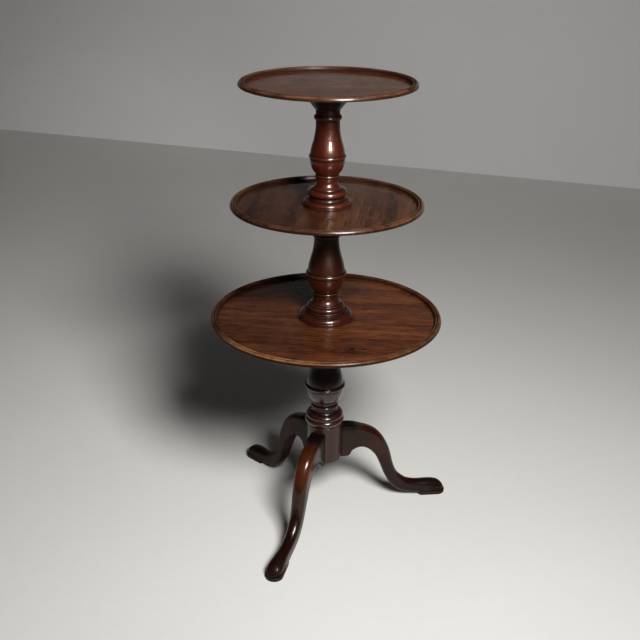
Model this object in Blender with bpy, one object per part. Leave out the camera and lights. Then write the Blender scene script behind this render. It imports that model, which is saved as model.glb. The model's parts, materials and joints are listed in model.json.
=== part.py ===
"""A three-tier dumbwaiter table: dished round trays that turn on a turned pillar with three cabriole legs.

Metres, +Z up, floor at z = 0. The front leg points along -Y, or very nearly. The origin is on the
floor, at the middle of the whole table's box, and the pillar's axis stands a little behind it.
"""

from math import acos, atan, ceil, cos, pi, radians, sin, sqrt

import bmesh
import bpy

# Trays, measured at the top of the rim. The lower rims follow the top one as shares of its height.
TOP_RIM_HEIGHT = 1.100
MIDDLE_RIM_SHARE = 0.7545
BOTTOM_RIM_SHARE = 0.5009
TOP_TRAY_DIAMETER = 0.393
MIDDLE_TRAY_DIAMETER = 0.443
BOTTOM_TRAY_DIAMETER = 0.551
TRAY_THICKNESS = 0.019
DISH_DEPTH = 0.0085
RIM_WIDTH = 0.018
RIM_BEAD_DEPTH = 0.0026
EDGE_DEPTH = 0.0105
EDGE_UNDERCUT = 0.050

# Rim section, as shares of RIM_WIDTH inwards from the edge. The roll falls from the crest to the edge
# by shares of the height between them, and the bead by shares of RIM_BEAD_DEPTH.
ROLL_SHARES = ((0.0, 1.0), (0.012, 0.74), (0.06, 0.44), (0.14, 0.19), (0.31, 0.0))
BEAD_SHARES = (
    (0.31, 0.0),
    (0.40, 0.08),
    (0.45, 0.45),
    (0.475, 1.0),
    (0.55, 1.0),
    (0.59, 0.46),
    (0.67, 0.27),
    (0.73, 0.50),
    (0.765, 1.0),
)
COVE_SHARES = ((0.765, 0.0), (0.80, 0.44), (0.87, 0.80), (1.0, 1.0))
UNDERCUT_SHARES = ((0.0, 0.0), (0.012, 0.10), (0.06, 0.19), (1.0, 1.0))

# Pillar sections: the width over the belly ring, and what joins them
UPPER_BELLY_DIAMETER = 0.0845
MIDDLE_BELLY_DIAMETER = 0.0959
LOWER_BELLY_DIAMETER = 0.1012
JOURNAL_DIAMETER = 0.036
TENON_DIAMETER = 0.028
TENON_LENGTH = 0.040
SOCKET_FLOOR_ROOM = 0.002

# Hubs: the flared bosses under the trays, which turn on the journals
HUB_HEIGHT = 0.043
HUB_EDGE = 0.004
TOP_HUB_DIAMETER = 0.116
MIDDLE_HUB_DIAMETER = 0.122
BOTTOM_HUB_DIAMETER = 0.130
HUB_CROWN = 0.007
HUB_SCREWS = 4
HUB_SCREW_INSET = 0.0095
HUB_SCREW_SEAT = 0.006
SCREW_DIAMETER = 0.0035
SCREW_HEAD_DIAMETER = 0.0075
SCREW_HEAD_HEIGHT = 0.0022
SCREW_BITE = 0.0075

# Legs and the block that they are let into. They stand a little off even thirds of a turn.
LEG_AZIMUTHS = [radians(degrees) for degrees in (-93.1, 32.4, 147.8)]
LEG_REACH = 0.3335
LEG_HEIGHT = 0.2385
LEG_DEPTH = 0.084
LEG_WIDTH = 0.037
BLOCK_DIAMETER = 0.088
BLOCK_ABOVE_LEGS = 0.0155
BLOCK_ARRIS = 0.001
SEAT_MARGIN = 0.001
TAIL_LENGTH = 0.0145
TAIL_ROOT_WIDTH = 0.014
TAIL_END_WIDTH = 0.021
TAIL_BELOW_TOP = 0.012
TAIL_OVERLAP = 0.002

# Shoes: the pads glued under the feet, widest at the toe
SHOE_THICKNESS = 0.008
SHOE_LENGTH = 0.075
SHOE_WIDTH = 0.0435
SHOE_BACK_WIDTH = 0.030
SHOE_BACK_SLOPE = 0.006
SHOE_TOE_MARGIN = 0.002

# The leg iron: the three-armed plate under the block, and its nails
IRON_THICKNESS = 0.0025
IRON_REACH = 0.058
IRON_ARM_WIDTH = 0.018
IRON_TIP = 0.004
NAIL_DIAMETER = 0.0032
NAIL_LENGTH = 0.020
NAIL_HEAD_DIAMETER = 0.008
NAIL_HEAD_HEIGHT = 0.0016
OUTER_NAIL_RADIUS = 0.050
INNER_NAIL_RADIUS = 0.0335

# Clearances
SEAT_GAP = 0.0003
RUNNING_GAP = 0.0004
BORE_CLEARANCE = 0.0005
FIT_CLEARANCE = 0.0004
OVERRUN = 0.004

# Facets round a turned piece, and the widest turn of an arc between two of its points
TRAY_FACETS = 48
PILLAR_FACETS = 24
NAIL_FACETS = 10
SHOE_ARC_STEPS = 12
ARC_TURN = radians(45)
SMOOTH_ANGLE = radians(32)
MERGE_DISTANCE = 0.00001

# Turned outlines, top to bottom: share of the section's height, share of the belly ring's radius,
# and how far the stretch down to that point swells outwards, as a share of its length.
NECK_SHARES = (
    (1.000, 0.000),
    (0.952, 0.000),
    (0.9465, 0.022),
    (0.898, 0.022, 0.300),
    (0.893, 0.000),
)
UPPER_NECK_SHARE = 0.640
UPPER_VASE_SHARES = (
    (0.861, 0.640),
    (0.640, 0.828, -0.040),
    (0.541, 0.932, 0.035),
    (0.537, 0.940),
    (0.500, 0.937, 0.320),
    (0.335, 0.634, 0.103),
    (0.3295, 0.611),
    (0.324, 0.622),
    (0.3055, 0.622, 0.250),
    (0.302, 0.600),
    (0.270, 0.588),
    (0.185, 0.795, -0.136),
    (0.174, 0.812),
    (0.168, 0.930),
    (0.106, 0.985, 0.400),
    (0.100, 0.960),
    (0.064, 1.010, -0.120),
    (0.058, 1.050),
    (0.0565, 1.205),
    (0.052, 1.225),
    (0.015, 1.275, 0.260),
    (0.013, 1.290),
    (0.000, 1.290),
)
MIDDLE_NECK_SHARE = 0.600
MIDDLE_VASE_SHARES = (
    (0.675, 0.765, -0.040),
    (0.528, 0.924, 0.0225),
    (0.524, 0.934),
    (0.480, 0.929, 0.360),
    (0.306, 0.645, 0.080),
    (0.3005, 0.625),
    (0.2945, 0.632),
    (0.275, 0.632, 0.250),
    (0.2715, 0.610),
    (0.250, 0.592),
    (0.178, 0.730, -0.125),
    (0.169, 0.745),
    (0.164, 0.815),
    (0.149, 0.828),
    (0.104, 0.908, 0.330),
    (0.0985, 0.903),
    (0.0955, 0.940),
    (0.0895, 0.950),
    (0.0715, 0.985, -0.150),
    (0.066, 1.020),
    (0.067, 1.035),
    (0.0745, 1.048),
    (0.0745, 1.062),
    (0.066, 1.110),
    (0.020, 1.340, 0.220),
    (0.018, 1.360),
    (0.000, 1.360),
)
LOWER_NECK_SHARE = 0.612
LOWER_VASE_SHARES = (
    (0.841, 0.612),
    (0.630, 0.751, -0.034),
    (0.4795, 0.912, 0.020),
    (0.476, 0.922),
    (0.4335, 0.920, 0.40),
    (0.284, 0.728, 0.09),
    (0.280, 0.735),
    (0.262, 0.695, 0.15),
    (0.240, 0.622),
    (0.228, 0.612),
    (0.2265, 0.640),
    (0.200, 0.640, 0.30),
    (0.198, 0.622),
    (0.178, 0.622),
    (0.148, 0.690, -0.05),
    (0.146, 0.722),
    (0.099, 0.925, 0.21),
    (0.093, 0.930),
    (0.089, 0.890),
    (0.0845, 0.870),
    (0.0125, 0.880, 0.29),
    (0.0105, 0.845),
    (0.0015, 0.845),
)

# The hub's flare: share of the way out from its foot to its edge, share of the height under the edge
FLARE_SHARES = ((1.0, 1.0), (0.86, 0.86), (0.62, 0.62), (0.35, 0.31), (0.07, 0.03), (0.0, 0.0))

# The cabriole leg, station by station from the block to the toe. Ridge and belly are each a share of
# the way from the seat to the toe, then a share of the height over the shoe: of the ridge's height at
# the block for the ridge, and of the leg's underside at the block for the belly. Then come the
# width, the depth of the rounded ridge and the chamfer under the sides, as shares of LEG_WIDTH, and the
# share of the leg's own width that is left flat on top.
LEG_STATION_SHARES = (
    (0.000, 1.000, 0.000, 1.000, 1.00, 0.05, 0.02, 0.96),
    (0.075, 0.997, 0.068, 1.000, 1.00, 0.10, 0.02, 0.92),
    (0.122, 0.991, 0.102, 1.090, 1.00, 0.17, 0.04, 0.84),
    (0.150, 0.985, 0.120, 1.112, 1.00, 0.22, 0.05, 0.74),
    (0.187, 0.974, 0.143, 1.132, 1.00, 0.28, 0.07, 0.54),
    (0.255, 0.948, 0.178, 1.138, 1.00, 0.32, 0.10, 0.28),
    (0.323, 0.898, 0.216, 1.120, 1.00, 0.35, 0.13, 0.14),
    (0.378, 0.824, 0.257, 1.070, 0.99, 0.37, 0.14, 0.10),
    (0.422, 0.732, 0.295, 0.997, 0.98, 0.38, 0.14, 0.10),
    (0.457, 0.628, 0.333, 0.885, 0.96, 0.39, 0.14, 0.10),
    (0.481, 0.516, 0.370, 0.728, 0.94, 0.39, 0.14, 0.10),
    (0.502, 0.416, 0.399, 0.578, 0.90, 0.39, 0.17, 0.10),
    (0.533, 0.319, 0.430, 0.422, 0.87, 0.39, 0.20, 0.10),
    (0.578, 0.250, 0.468, 0.285, 0.84, 0.40, 0.22, 0.10),
    (0.637, 0.192, 0.523, 0.155, 0.80, 0.41, 0.24, 0.10),
    (0.702, 0.163, 0.592, 0.077, 0.79, 0.42, 0.24, 0.10),
    (0.771, 0.150, 0.681, 0.026, 0.83, 0.44, 0.24, 0.10),
    (0.840, 0.143, 0.768, 0.002, 0.92, 0.46, 0.20, 0.10),
    (0.895, 0.130, 0.858, 0.000, 0.99, 0.46, 0.14, 0.10),
    (0.943, 0.106, 0.920, 0.000, 1.00, 0.44, 0.09, 0.10),
    (0.975, 0.072, 0.958, 0.000, 0.84, 0.36, 0.05, 0.10),
    (0.993, 0.036, 0.984, 0.000, 0.54, 0.18, 0.02, 0.10),
    (1.000, 0.010, 0.996, 0.000, 0.32, 0.03, 0.01, 0.10),
)
SHOULDER_ARC_STEPS = 3

# Levels and radii worked out from the sizes above
MIDDLE_RIM_HEIGHT = TOP_RIM_HEIGHT * MIDDLE_RIM_SHARE
BOTTOM_RIM_HEIGHT = TOP_RIM_HEIGHT * BOTTOM_RIM_SHARE
SHOE_TOP = SHOE_THICKNESS
FOOT_UNDERSIDE = SHOE_THICKNESS + SEAT_GAP
BLOCK_UNDERSIDE = LEG_HEIGHT - LEG_DEPTH
BLOCK_TOP = LEG_HEIGHT + BLOCK_ABOVE_LEGS
IRON_TOP = BLOCK_UNDERSIDE - SEAT_GAP
IRON_UNDERSIDE = IRON_TOP - IRON_THICKNESS
SEAT_WIDTH = LEG_WIDTH + 2 * SEAT_MARGIN
SEAT_RADIUS = sqrt((BLOCK_DIAMETER / 2) ** 2 - (SEAT_WIDTH / 2) ** 2)
BORE_RADIUS = JOURNAL_DIAMETER / 2 + BORE_CLEARANCE
LEGS_BACK_REACH = LEG_REACH * max(sin(azimuth) for azimuth in LEG_AZIMUTHS)
BACK_REACH = max(BOTTOM_TRAY_DIAMETER / 2, LEGS_BACK_REACH)
AXIS_BEHIND_ORIGIN = (LEG_REACH - BACK_REACH) / 2

# Colours, as linear red, green and blue
PILLAR_COLOUR = (0.075, 0.017, 0.009)
TRAY_COLOUR = (0.105, 0.030, 0.014)
LEG_COLOUR = (0.052, 0.016, 0.010)
SHOE_COLOUR = (0.018, 0.010, 0.008)
IRON_COLOUR = (0.030, 0.028, 0.027)
SCREW_COLOUR = (0.110, 0.095, 0.075)


def clear_scene():
    for old in list(bpy.data.objects):
        bpy.data.objects.remove(old, do_unlink=True)


def add_empty(name, location, parent=None, turn=0.0):
    empty = bpy.data.objects.new(name, None)
    bpy.context.collection.objects.link(empty)
    empty.empty_display_size = OVERRUN
    empty.location = location
    empty.rotation_euler.z = turn
    empty.parent = parent
    return empty


def add_object(name, mesh, parent=None, location=(0, 0, 0), turn=0.0):
    piece = bpy.data.objects.new(name, mesh)
    bpy.context.collection.objects.link(piece)
    piece.location = location
    piece.rotation_euler.z = turn
    piece.parent = parent
    return piece


def finish(piece, colour, roughness, metallic=0.0):
    """Gives the piece its own Principled material, and smooth shading between its sharp edges."""
    material = bpy.data.materials.new(piece.name)
    material.use_nodes = True
    shader = material.node_tree.nodes["Principled BSDF"]
    shader.inputs["Base Color"].default_value = (*colour, 1)
    shader.inputs["Roughness"].default_value = roughness
    shader.inputs["Metallic"].default_value = metallic
    piece.data.materials.clear()
    piece.data.materials.append(material)
    piece.data.shade_smooth()
    piece.data.set_sharp_from_angle(angle=SMOOTH_ANGLE)
    return piece


def as_cutter(piece):
    piece.hide_render = True
    piece.display_type = "WIRE"
    return piece


def add_boolean(target, other, operation="DIFFERENCE"):
    modifier = target.modifiers.new(other.name, "BOOLEAN")
    modifier.object = other
    modifier.operation = operation


def evaluated_mesh(piece):
    """The piece's mesh with its modifiers applied."""
    bpy.context.view_layer.update()
    graph = bpy.context.evaluated_depsgraph_get()
    return bpy.data.meshes.new_from_object(piece.evaluated_get(graph))


def follow_arcs(rows):
    """Turns rows of (radius, height, swell) into points, with each swelling stretch as an arc."""
    points = [rows[0][:2]]
    for row in rows[1:]:
        (r0, z0), (r1, z1) = points[-1], row[:2]
        swell = row[2] if len(row) > 2 else 0
        if swell:
            turn = 4 * atan(2 * swell)
            chord = sqrt((r1 - r0) ** 2 + (z1 - z0) ** 2)
            along = ((r1 - r0) / chord, (z1 - z0) / chord)
            radius = chord / (2 * sin(turn / 2))
            steps = max(2, ceil(abs(turn) / ARC_TURN))
            for step in range(1, steps):
                angle = turn * (step / steps - 1 / 2)
                forward = chord / 2 + radius * sin(angle)
                outward = radius * (cos(angle) - cos(turn / 2))
                points.append((
                    r0 + along[0] * forward - along[1] * outward,
                    z0 + along[1] * forward + along[0] * outward,
                ))
        points.append((r1, z1))
    return points


def turned_mesh(name, outline, facets, closed=False):
    """A mesh spun about Z from an outline of (radius, height) that runs down its outer side."""
    mesh = bpy.data.meshes.new(name)
    edges = [(i, i + 1) for i in range(len(outline) - 1)]
    if closed:
        edges.append((len(outline) - 1, 0))
    mesh.from_pydata([(r, 0, z) for r, z in outline], edges, [])
    profile = add_object(name + "_profile", mesh)
    screw = profile.modifiers.new("turn", "SCREW")
    screw.steps = screw.render_steps = facets
    screw.use_merge_vertices = True
    screw.merge_threshold = MERGE_DISTANCE
    screw.use_smooth_shade = True
    made = evaluated_mesh(profile)
    made.name = name
    bpy.data.objects.remove(profile)
    bpy.data.meshes.remove(mesh)
    return made


def loft_mesh(name, rings):
    """A closed mesh through rings of equally many points, each listed anticlockwise from its far end."""
    build = bmesh.new()
    loops = [[build.verts.new(point) for point in ring] for ring in rings]
    count = len(loops[0])
    for near, far in zip(loops, loops[1:]):
        for i in range(count):
            build.faces.new((near[i], near[(i + 1) % count], far[(i + 1) % count], far[i]))
    build.faces.new(reversed(loops[0]))
    build.faces.new(loops[-1])
    bmesh.ops.recalc_face_normals(build, faces=build.faces)
    mesh = bpy.data.meshes.new(name)
    build.to_mesh(mesh)
    build.free()
    return mesh


def prism_mesh(name, outline, bottom, top):
    return loft_mesh(name, [[(x, y, z) for x, y in outline] for z in (bottom, top)])


def add_rod_cutter(name, diameter, bottom, top, place, parent=None):
    """A round cutter standing at place, an (x, y) pair, between two levels."""
    outline = [(0, top), (diameter / 2, top), (diameter / 2, bottom), (0, bottom)]
    mesh = turned_mesh(name, outline, NAIL_FACETS)
    return as_cutter(add_object(name, mesh, parent, (*place, 0)))


def on_circle(radius, angle):
    return radius * cos(angle), radius * sin(angle)


def tray_outline(diameter, through_bore):
    """The tray's section from the middle of its dish, over the rim and back underneath.

    Heights count from the tray's underside.
    """
    edge = diameter / 2
    dish = TRAY_THICKNESS - DISH_DEPTH
    bead_foot = TRAY_THICKNESS - RIM_BEAD_DEPTH
    inner = BORE_RADIUS if through_bore else 0
    points = [(inner, dish)]
    for out, down in reversed(COVE_SHARES):
        points.append((edge - RIM_WIDTH * out, bead_foot + (dish - bead_foot) * down))
    for out, down in reversed(BEAD_SHARES[1:-1]):
        points.append((edge - RIM_WIDTH * out, TRAY_THICKNESS - RIM_BEAD_DEPTH * down))
    for out, down in reversed(ROLL_SHARES[1:]):
        points.append((edge - RIM_WIDTH * out, TRAY_THICKNESS - (TRAY_THICKNESS - EDGE_DEPTH) * down))
    for out, down in UNDERCUT_SHARES:
        points.append((edge - EDGE_UNDERCUT * out, EDGE_DEPTH * (1 - down)))
    points.append((inner, 0))
    return points


def hub_outline(foot_radius, diameter, through_bore):
    """The hub's section, from the top of its bore outwards, down the flare and up the bore.

    Heights count from the hub's foot.
    """
    edge = diameter / 2
    flare_top = HUB_HEIGHT - HUB_EDGE
    points = [(BORE_RADIUS if through_bore else 0, HUB_HEIGHT), (edge, HUB_HEIGHT)]
    for out, up in FLARE_SHARES:
        points.append((foot_radius + (edge - foot_radius) * out, flare_top * up))
    points.append((BORE_RADIUS, 0))
    if not through_bore:
        points += [(BORE_RADIUS, HUB_HEIGHT - HUB_CROWN), (0, HUB_HEIGHT - HUB_CROWN)]
    return points


def shoulder_level(rim_height):
    """The level of the pillar's shoulder that carries the hub of the tray with that rim."""
    return rim_height - TRAY_THICKNESS - SEAT_GAP - HUB_HEIGHT - RUNNING_GAP


def section_base(rim_height):
    """The level where the next pillar section stands, just clear of the tray with that rim."""
    return rim_height - DISH_DEPTH + RUNNING_GAP + SEAT_GAP


def vase_rows(neck_share, vase_shares, belly_diameter, bottom, top):
    """Rows of (radius, height, swell) for a pillar section's neck ring, vase and base mouldings."""
    rows = [(up, neck_share + out[0], *out[1:]) for up, *out in NECK_SHARES]
    rows += vase_shares
    belly = belly_diameter / 2
    return [(belly * row[1], bottom + (top - bottom) * row[0], *row[2:]) for row in rows]


def journal_outline(shoulder, journal_top, has_tenon):
    """The pillar's top end: a tenon for the next section, where it has one, over the journal."""
    journal = JOURNAL_DIAMETER / 2
    if not has_tenon:
        return [(0, journal_top), (journal, journal_top), (journal, shoulder)]
    tenon = TENON_DIAMETER / 2
    tenon_top = journal_top + SEAT_GAP + TENON_LENGTH
    return [
        (0, tenon_top),
        (tenon, tenon_top),
        (tenon, journal_top),
        (journal, journal_top),
        (journal, shoulder),
    ]


def socket_outline(base):
    """The hole up the foot of a section, for the tenon of the section below."""
    socket = TENON_DIAMETER / 2 + FIT_CLEARANCE
    socket_top = base + TENON_LENGTH + SOCKET_FLOOR_ROOM
    return [(socket, base), (socket, socket_top), (0, socket_top)]


def add_upper_section(name, axis, below_rim, own_rim, shares, belly_diameter, has_tenon):
    """A pillar section that stands on the one below it and carries the tray with own_rim."""
    base = section_base(below_rim)
    shoulder = shoulder_level(own_rim) - base
    if has_tenon:
        journal_top = own_rim - DISH_DEPTH + RUNNING_GAP - base
    else:
        journal_top = shoulder + HUB_HEIGHT - HUB_CROWN - SOCKET_FLOOR_ROOM
    outline = journal_outline(shoulder, journal_top, has_tenon)
    outline += follow_arcs(vase_rows(*shares, belly_diameter, 0, shoulder))
    outline += socket_outline(0)
    mesh = turned_mesh(name, outline, PILLAR_FACETS)
    return finish(add_object(name, mesh, axis, (0, 0, base)), PILLAR_COLOUR, 0.28)


def tail_outline(clearance):
    """The dovetail seen from above, with the leg along +X, widest at the pillar's heart."""
    root = TAIL_ROOT_WIDTH / 2 + clearance
    end = TAIL_END_WIDTH / 2 + clearance
    heart = SEAT_RADIUS - TAIL_LENGTH - clearance
    mouth = SEAT_RADIUS + TAIL_OVERLAP
    return [(heart, -end), (mouth, -root), (mouth, root), (heart, end)]


def add_lower_section(axis):
    """The bottom section: vase, collar and the block, with a seat and a socket for each leg."""
    shoulder = shoulder_level(BOTTOM_RIM_HEIGHT)
    journal_top = BOTTOM_RIM_HEIGHT - DISH_DEPTH + RUNNING_GAP
    outline = journal_outline(shoulder, journal_top, True)
    shares = (LOWER_NECK_SHARE, LOWER_VASE_SHARES)
    outline += follow_arcs(vase_rows(*shares, LOWER_BELLY_DIAMETER, BLOCK_TOP, shoulder))
    block = BLOCK_DIAMETER / 2
    outline += [
        (block, BLOCK_TOP),
        (block, BLOCK_UNDERSIDE + BLOCK_ARRIS),
        (block - BLOCK_ARRIS, BLOCK_UNDERSIDE),
        (0, BLOCK_UNDERSIDE),
    ]
    mesh = turned_mesh("lower_pillar", outline, PILLAR_FACETS)
    pillar = add_object("lower_pillar", mesh, axis)
    below = BLOCK_UNDERSIDE - OVERRUN
    seat_reach = BLOCK_DIAMETER / 2 + OVERRUN
    seat = SEAT_WIDTH / 2
    seat_outline = [(SEAT_RADIUS, -seat), (seat_reach, -seat), (seat_reach, seat), (SEAT_RADIUS, seat)]
    seat_mesh = prism_mesh("leg_seat", seat_outline, below, LEG_HEIGHT + SEAT_MARGIN)
    socket_top = LEG_HEIGHT - TAIL_BELOW_TOP + FIT_CLEARANCE
    socket_mesh = prism_mesh("tail_socket", tail_outline(FIT_CLEARANCE), below, socket_top)
    for number, azimuth in enumerate(LEG_AZIMUTHS, 1):
        for kind, cut_mesh in (("seat", seat_mesh), ("socket", socket_mesh)):
            cutter = add_object(f"leg_{kind}_cutter_{number}", cut_mesh, axis, turn=azimuth)
            add_boolean(pillar, as_cutter(cutter))
    hole_top = nail_hole_top()
    hole = add_rod_cutter("centre_nail_cutter", nail_hole_diameter(), below, hole_top, (0, 0), axis)
    add_boolean(pillar, hole)
    return finish(pillar, PILLAR_COLOUR, 0.28)


def nail_hole_diameter():
    return NAIL_DIAMETER + 2 * FIT_CLEARANCE


def nail_hole_top():
    return IRON_UNDERSIDE - SEAT_GAP + NAIL_LENGTH + SOCKET_FLOOR_ROOM


def screw_hole_diameter():
    return SCREW_DIAMETER + 2 * FIT_CLEARANCE


def add_tray_group(label, axis, rim_height, diameter, hub_diameter, foot_radius, through_bore):
    """A tray, the hub under it and the screws that hold the two together, on their own axis."""
    underside = rim_height - TRAY_THICKNESS
    turning = add_empty(label + "_tray_axis", (0, 0, underside), axis)
    outline = tray_outline(diameter, through_bore)
    mesh = turned_mesh(label + "_tray", outline, TRAY_FACETS, closed=through_bore)
    tray = add_object(label + "_tray", mesh, turning)
    hub_top = -SEAT_GAP
    hub_foot = hub_top - HUB_HEIGHT
    outline = hub_outline(foot_radius, hub_diameter, through_bore)
    mesh = turned_mesh(label + "_tray_hub", outline, PILLAR_FACETS, closed=through_bore)
    hub = add_object(label + "_tray_hub", mesh, turning, (0, 0, hub_foot))
    seat = hub_top - HUB_SCREW_SEAT
    tip = SCREW_BITE
    screw = screw_mesh(label + "_hub_screw", tip - seat + SEAT_GAP)
    circle = hub_diameter / 2 - HUB_SCREW_INSET
    for number in range(HUB_SCREWS):
        place = on_circle(circle, 2 * pi * (number + 1 / 2) / HUB_SCREWS)
        name = f"{label}_hub_screw_{number + 1}"
        hole_top = tip + SOCKET_FLOOR_ROOM / 2
        hole = add_rod_cutter(name + "_hole", screw_hole_diameter(), hub_foot, hole_top, place, turning)
        add_boolean(tray, hole)
        add_boolean(hub, hole)
        recess = add_rod_cutter(
            name + "_recess", SCREW_HEAD_DIAMETER + 2 * FIT_CLEARANCE, hub_foot, seat, place, turning
        )
        add_boolean(hub, recess)
        add_screw(name, screw, turning, (*place, seat - SEAT_GAP))
    finish(tray, TRAY_COLOUR, 0.30)
    finish(hub, PILLAR_COLOUR, 0.35)


def screw_mesh(name, length):
    """A flat-headed screw pointing up, with its origin on top of the head, where it bears."""
    head, shank = SCREW_HEAD_DIAMETER / 2, SCREW_DIAMETER / 2
    outline = [
        (0, length),
        (shank / 2, length),
        (shank, length - SCREW_DIAMETER),
        (shank, 0),
        (head, 0),
        (head, -SCREW_HEAD_HEIGHT),
        (0, -SCREW_HEAD_HEIGHT),
    ]
    return turned_mesh(name, outline, NAIL_FACETS)


def add_screw(name, mesh, parent, location):
    return finish(add_object(name, mesh.copy(), parent, location), SCREW_COLOUR, 0.45, 0.9)


def leg_ring(station):
    """One ring of the leg's skin: underside, chamfers, flat sides, round shoulders and the flat on top."""
    ridge_out, ridge_up, belly_out, belly_up, width_share, round_share, chamfer_share, flat = station
    inner = SEAT_RADIUS + SEAT_GAP
    reach = LEG_REACH - SHOE_TOE_MARGIN - inner
    ridge_x = inner + reach * ridge_out
    ridge_z = FOOT_UNDERSIDE + (LEG_HEIGHT - FOOT_UNDERSIDE) * ridge_up
    belly_x = inner + reach * belly_out
    belly_z = FOOT_UNDERSIDE + (BLOCK_UNDERSIDE - FOOT_UNDERSIDE) * belly_up
    height = sqrt((ridge_x - belly_x) ** 2 + (ridge_z - belly_z) ** 2)
    up = ((ridge_x - belly_x) / height, (ridge_z - belly_z) / height)
    half = LEG_WIDTH * width_share / 2
    chamfer = min(LEG_WIDTH * chamfer_share, height / 4)
    crown = min(LEG_WIDTH * round_share, height / 2)
    section = [(half - chamfer, 0), (half, chamfer)]
    full_crown = crown / sqrt(1 - flat ** 2)
    for step in range(SHOULDER_ARC_STEPS + 1):
        angle = acos(flat) * step / SHOULDER_ARC_STEPS
        section.append((half * cos(angle), height - crown + full_crown * sin(angle)))
    section += [(-side, rise) for side, rise in reversed(section)]
    return [(belly_x + up[0] * rise, side, belly_z + up[1] * rise) for side, rise in section]


def leg_mesh():
    """A leg along +X with its dovetail, drilled from below for its nails."""
    blank = loft_mesh("leg_blank", [leg_ring(row) for row in LEG_STATION_SHARES])
    leg = add_object("leg_blank", blank)
    tail_top = LEG_HEIGHT - TAIL_BELOW_TOP
    tail = prism_mesh("leg_tail", tail_outline(0), BLOCK_UNDERSIDE, tail_top)
    tail = as_cutter(add_object("leg_tail", tail))
    add_boolean(leg, tail, "UNION")
    helpers = [leg, tail]
    for radius in (INNER_NAIL_RADIUS, OUTER_NAIL_RADIUS):
        below = BLOCK_UNDERSIDE - OVERRUN
        hole = add_rod_cutter("leg_nail_hole", nail_hole_diameter(), below, nail_hole_top(), (radius, 0))
        add_boolean(leg, hole)
        helpers.append(hole)
    mesh = evaluated_mesh(leg)
    mesh.name = "leg"
    for helper in helpers:
        bpy.data.objects.remove(helper)
    return mesh


def shoe_mesh():
    """The pad under a foot, along +X: round at the toe, narrower and undercut at the back."""
    half = SHOE_WIDTH / 2
    heel_half = SHOE_BACK_WIDTH / 2
    centre = LEG_REACH - half
    back = LEG_REACH - SHOE_LENGTH
    toe = []
    for step in range(SHOE_ARC_STEPS + 1):
        x, y = on_circle(half, pi * (step / SHOE_ARC_STEPS - 1 / 2))
        toe.append((centre + x, y))
    bottom = [(back + SHOE_BACK_SLOPE, heel_half), (back + SHOE_BACK_SLOPE, -heel_half)]
    top = [(back, heel_half), (back, -heel_half)]
    rings = [[(x, y, z) for x, y in toe + heel] for heel, z in ((bottom, 0), (top, SHOE_TOP))]
    return loft_mesh("shoe", rings)


def add_legs(axis):
    leg, shoe = leg_mesh(), shoe_mesh()
    for number, azimuth in enumerate(LEG_AZIMUTHS, 1):
        finish(add_object(f"leg_{number}", leg.copy(), axis, turn=azimuth), LEG_COLOUR, 0.35)
        finish(add_object(f"foot_shoe_{number}", shoe.copy(), axis, turn=azimuth), SHOE_COLOUR, 0.5)


def iron_outline():
    """The leg iron seen from above: one arm under each leg, with its corners cut off."""
    half = IRON_ARM_WIDTH / 2
    outline = []
    for turn, azimuth in enumerate(LEG_AZIMUTHS):
        opening = (azimuth - LEG_AZIMUTHS[turn - 1]) % (2 * pi)
        outline.append(on_circle(half / sin(opening / 2), azimuth - opening / 2))
        tip = ((IRON_REACH - IRON_TIP, -half), (IRON_REACH, IRON_TIP - half))
        for out, side in (*tip, *((out, -side) for out, side in reversed(tip))):
            x, y = on_circle(out, azimuth)
            outline.append((x - side * sin(azimuth), y + side * cos(azimuth)))
    return outline


def add_leg_iron(axis):
    """The plate that ties the legs to the block, and the nails through it."""
    mesh = prism_mesh("leg_iron", iron_outline(), IRON_UNDERSIDE, IRON_TOP)
    iron = add_object("leg_iron", mesh, axis)
    places = [(0, 0)]
    for azimuth in LEG_AZIMUTHS:
        places += [on_circle(radius, azimuth) for radius in (INNER_NAIL_RADIUS, OUTER_NAIL_RADIUS)]
    head, shank = NAIL_HEAD_DIAMETER / 2, NAIL_DIAMETER / 2
    outline = [
        (0, NAIL_LENGTH),
        (shank / 2, NAIL_LENGTH),
        (shank, NAIL_LENGTH - NAIL_DIAMETER),
        (shank, 0),
        (head, 0),
        (head - NAIL_HEAD_HEIGHT, -NAIL_HEAD_HEIGHT),
        (0, -NAIL_HEAD_HEIGHT),
    ]
    nail = turned_mesh("leg_iron_nail", outline, NAIL_FACETS)
    for number, place in enumerate(places, 1):
        hole = add_rod_cutter(
            f"iron_hole_{number}",
            nail_hole_diameter(),
            IRON_UNDERSIDE - OVERRUN,
            IRON_TOP + OVERRUN,
            place,
            axis,
        )
        add_boolean(iron, hole)
        location = (*place, IRON_UNDERSIDE - SEAT_GAP)
        name = f"leg_iron_nail_{number}"
        finish(add_object(name, nail.copy(), axis, location), IRON_COLOUR, 0.6, 0.8)
    finish(iron, IRON_COLOUR, 0.6, 0.8)


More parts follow.
